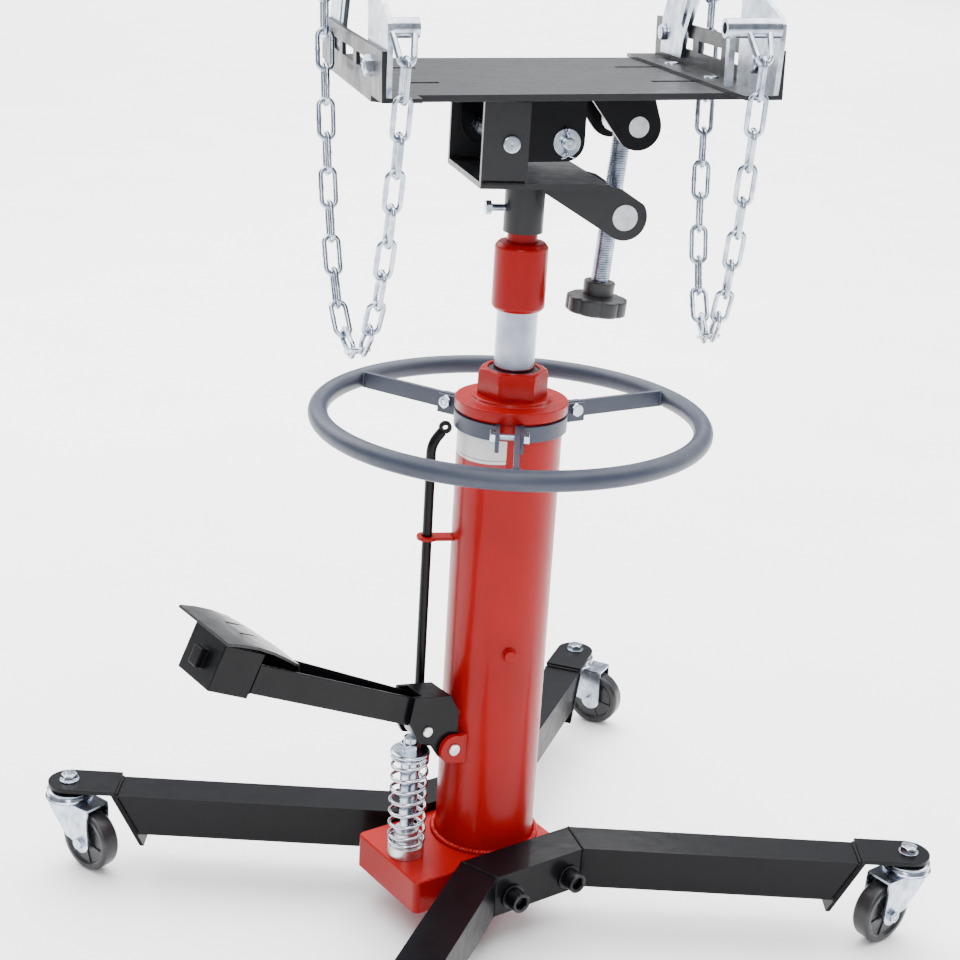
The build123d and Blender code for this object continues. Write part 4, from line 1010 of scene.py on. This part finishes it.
def catenary(start, end, length, count):
    """Joints between the links of a chain of the given length hung from start to end."""
    span = math.hypot(end.x - start.x, end.y - start.y)
    rise = end.z - start.z
    target = math.sqrt(length ** 2 - rise ** 2) / span
    low, high = 1e-6, 20.0
    for _ in range(80):
        k = (low + high) / 2
        low, high = (k, high) if math.sinh(k) / k < target else (low, k)
    a = span / (2 * k)
    shift = a * math.atanh(rise / length)
    first = a * math.sinh((-span / 2 + shift) / a)
    base = a * math.cosh((-span / 2 + shift) / a)
    points = []
    for i in range(count + 1):
        u = a * math.asinh((length * i / count + first) / a) - shift
        t = (u + span / 2) / span
        p = start.lerp(end, t)
        points.append(Vector((p.x, p.y, start.z + a * math.cosh((u + shift) / a) - base)))
    return points


def chain_link(bm, a, b, across, turn):
    """Oval link with its butt weld, bearing at a and b."""
    run = (b - a).normalized()
    side = across - run * run.dot(across)
    side.normalize()
    centre = (a + b) / 2
    radius = (LINK_WIDE - LINK_D) / 2
    half = (b - a).length / 2 + LINK_D / 2 + 0.3 - radius
    points, radii = [], []
    for end in (1, -1):
        for k in range(17):
            t = -math.pi / 2 + math.pi * k / 16
            x = end * (half + radius * math.cos(t))
            points.append(centre + run * x + side * (end * radius * math.sin(t)))
            radii.append(LINK_D / 2)
        for k in range(1, 8):
            x = end * half * (1 - 2 * k / 8)
            points.append(centre + run * x + side * (end * radius))
            bulge = 0.35 * math.exp(-((x / 1.6) ** 2)) if end == turn else 0.0
            radii.append(LINK_D / 2 + bulge)
    tube_along(bm, points, radii, 14, True, up=run.cross(side))


def chain(side):
    def build(bm):
        hooks = [Vector((side * x, y, z - BAIL_DROP + 3.3)) for x, y, z in (FRONT_BAILS[side], REAR_BAIL)]
        tilt = at(*PIVOT) @ rot("Y", -SADDLE_TILT) @ at(*-PIVOT)
        start, end = [tilt @ p for p in hooks]
        points = catenary(start, end, CHAIN_LINKS * LINK_IN, CHAIN_LINKS)
        side_dir = Vector((end.y - start.y, start.x - end.x, 0)).normalized()
        for i in range(CHAIN_LINKS):
            run = (points[i + 1] - points[i]).normalized()
            across = side_dir.copy() if i % 2 == 0 else run.cross(side_dir)
            chain_link(bm, points[i], points[i + 1], run.cross(across), 1 if i % 2 else -1)
    return build


for name, side in (("left", -1), ("right", 1)):
    piece(name + "_rail_hardware", name + "_rail", "zinc", rail_bolt_set(side), [name + "_rail_bolts"])
    piece(name + "_tie_chain", name + "_chain", "zinc", chain(side), [name + "_chain"], matrix=HEAD)

# ---- hidden inner parts and the coil's own mesh copy ------------------------------------
from_cad("pressure_cylinder", 0.4)
from_cad("first_piston", 0.4)
for node, obj in frame["nodes"].items():
    if not obj.hide_render:
        obj.data.materials.clear()
        obj.data.materials.append(MAT[SLOT_OF[node]])
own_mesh(coil)

# ---- floor, light and camera ------------------------------------------------------------
def stage_floor():
    mesh = bpy.data.meshes.new("floor")
    bm = bmesh.new()
    bmesh.ops.create_grid(bm, x_segments=1, y_segments=1, size=60.0)
    bm.to_mesh(mesh)
    bm.free()
    obj = bpy.data.objects.new("floor", mesh)
    obj.location.z = -0.0005
    bpy.context.scene.collection.objects.link(obj)
    mat, tree, bsdf, coords = shader("pale floor", (0.9, 0.9, 0.9), rough=0.7, specular=0.2)
    shade = ramp(tree, noise(tree, coords, 3.0), (0.88, 0.88, 0.88), (0.92, 0.92, 0.92))
    tree.links.new(shade, bsdf.inputs["Base Color"])
    mesh.materials.append(mat)


def area_light(name, place, target, size, power, color=(1, 1, 1)):
    data = bpy.data.lights.new(name, "AREA")
    data.shape = "RECTANGLE"
    data.size, data.size_y = size
    data.energy = power
    data.color = color
    obj = bpy.data.objects.new(name, data)
    obj.matrix_world = along(Vector(place), Vector(place) - Vector(target))
    bpy.context.scene.collection.objects.link(obj)
    return obj


stage_floor()
world = bpy.data.worlds.new("studio")
bpy.context.scene.world = world
world.use_nodes = True
background = world.node_tree.nodes["Background"]
background.inputs["Color"].default_value = (0.90, 0.94, 1.0, 1)
background.inputs["Strength"].default_value = 0.5
area_light("overhead", (0.9, 1.2, 4.6), (0.7, 0.9, 0), (8.0, 8.0), 1150)
backdrop = area_light("backdrop", (9.0, 12.0, 7.0), (9.0, 12.001, 0), (20.0, 20.0), 9000)
backdrop.visible_glossy = False
area_light("key", (-1.9, -2.2, 2.2), (0, 0, 0.5), (0.9, 1.6), 45)
area_light("fill", (2.6, -0.8, 1.5), (0, 0, 0.5), (0.7, 2.0), 26)
area_light("rim", (-0.6, 2.8, 2.0), (0, 0, 0.6), (2.2, 1.0), 45)

AZ, EL, ROLL, FOCAL_PX, DIST = -36.44, 19.34, 3.48, 1742.9, 1.9134
TARGET = Vector((-0.0243, 0.0157, 0.5198))


def make_camera():
    a, e, g = math.radians(AZ), math.radians(EL), math.radians(ROLL)
    back = Vector((math.sin(a) * math.cos(e), -math.cos(a) * math.cos(e), math.sin(e)))
    right = Vector((math.cos(a), math.sin(a), 0))
    up = back.cross(right)
    right, up = right * math.cos(g) + up * math.sin(g), up * math.cos(g) - right * math.sin(g)
    data = bpy.data.cameras.new("camera")
    data.sensor_width = 36.0
    data.lens = FOCAL_PX / 960 * 36.0
    obj = bpy.data.objects.new("camera", data)
    m = Matrix((right, up, back)).transposed().to_4x4()
    m.translation = TARGET + back * DIST
    obj.matrix_world = m
    bpy.context.scene.collection.objects.link(obj)
    bpy.context.scene.camera = obj


make_camera()
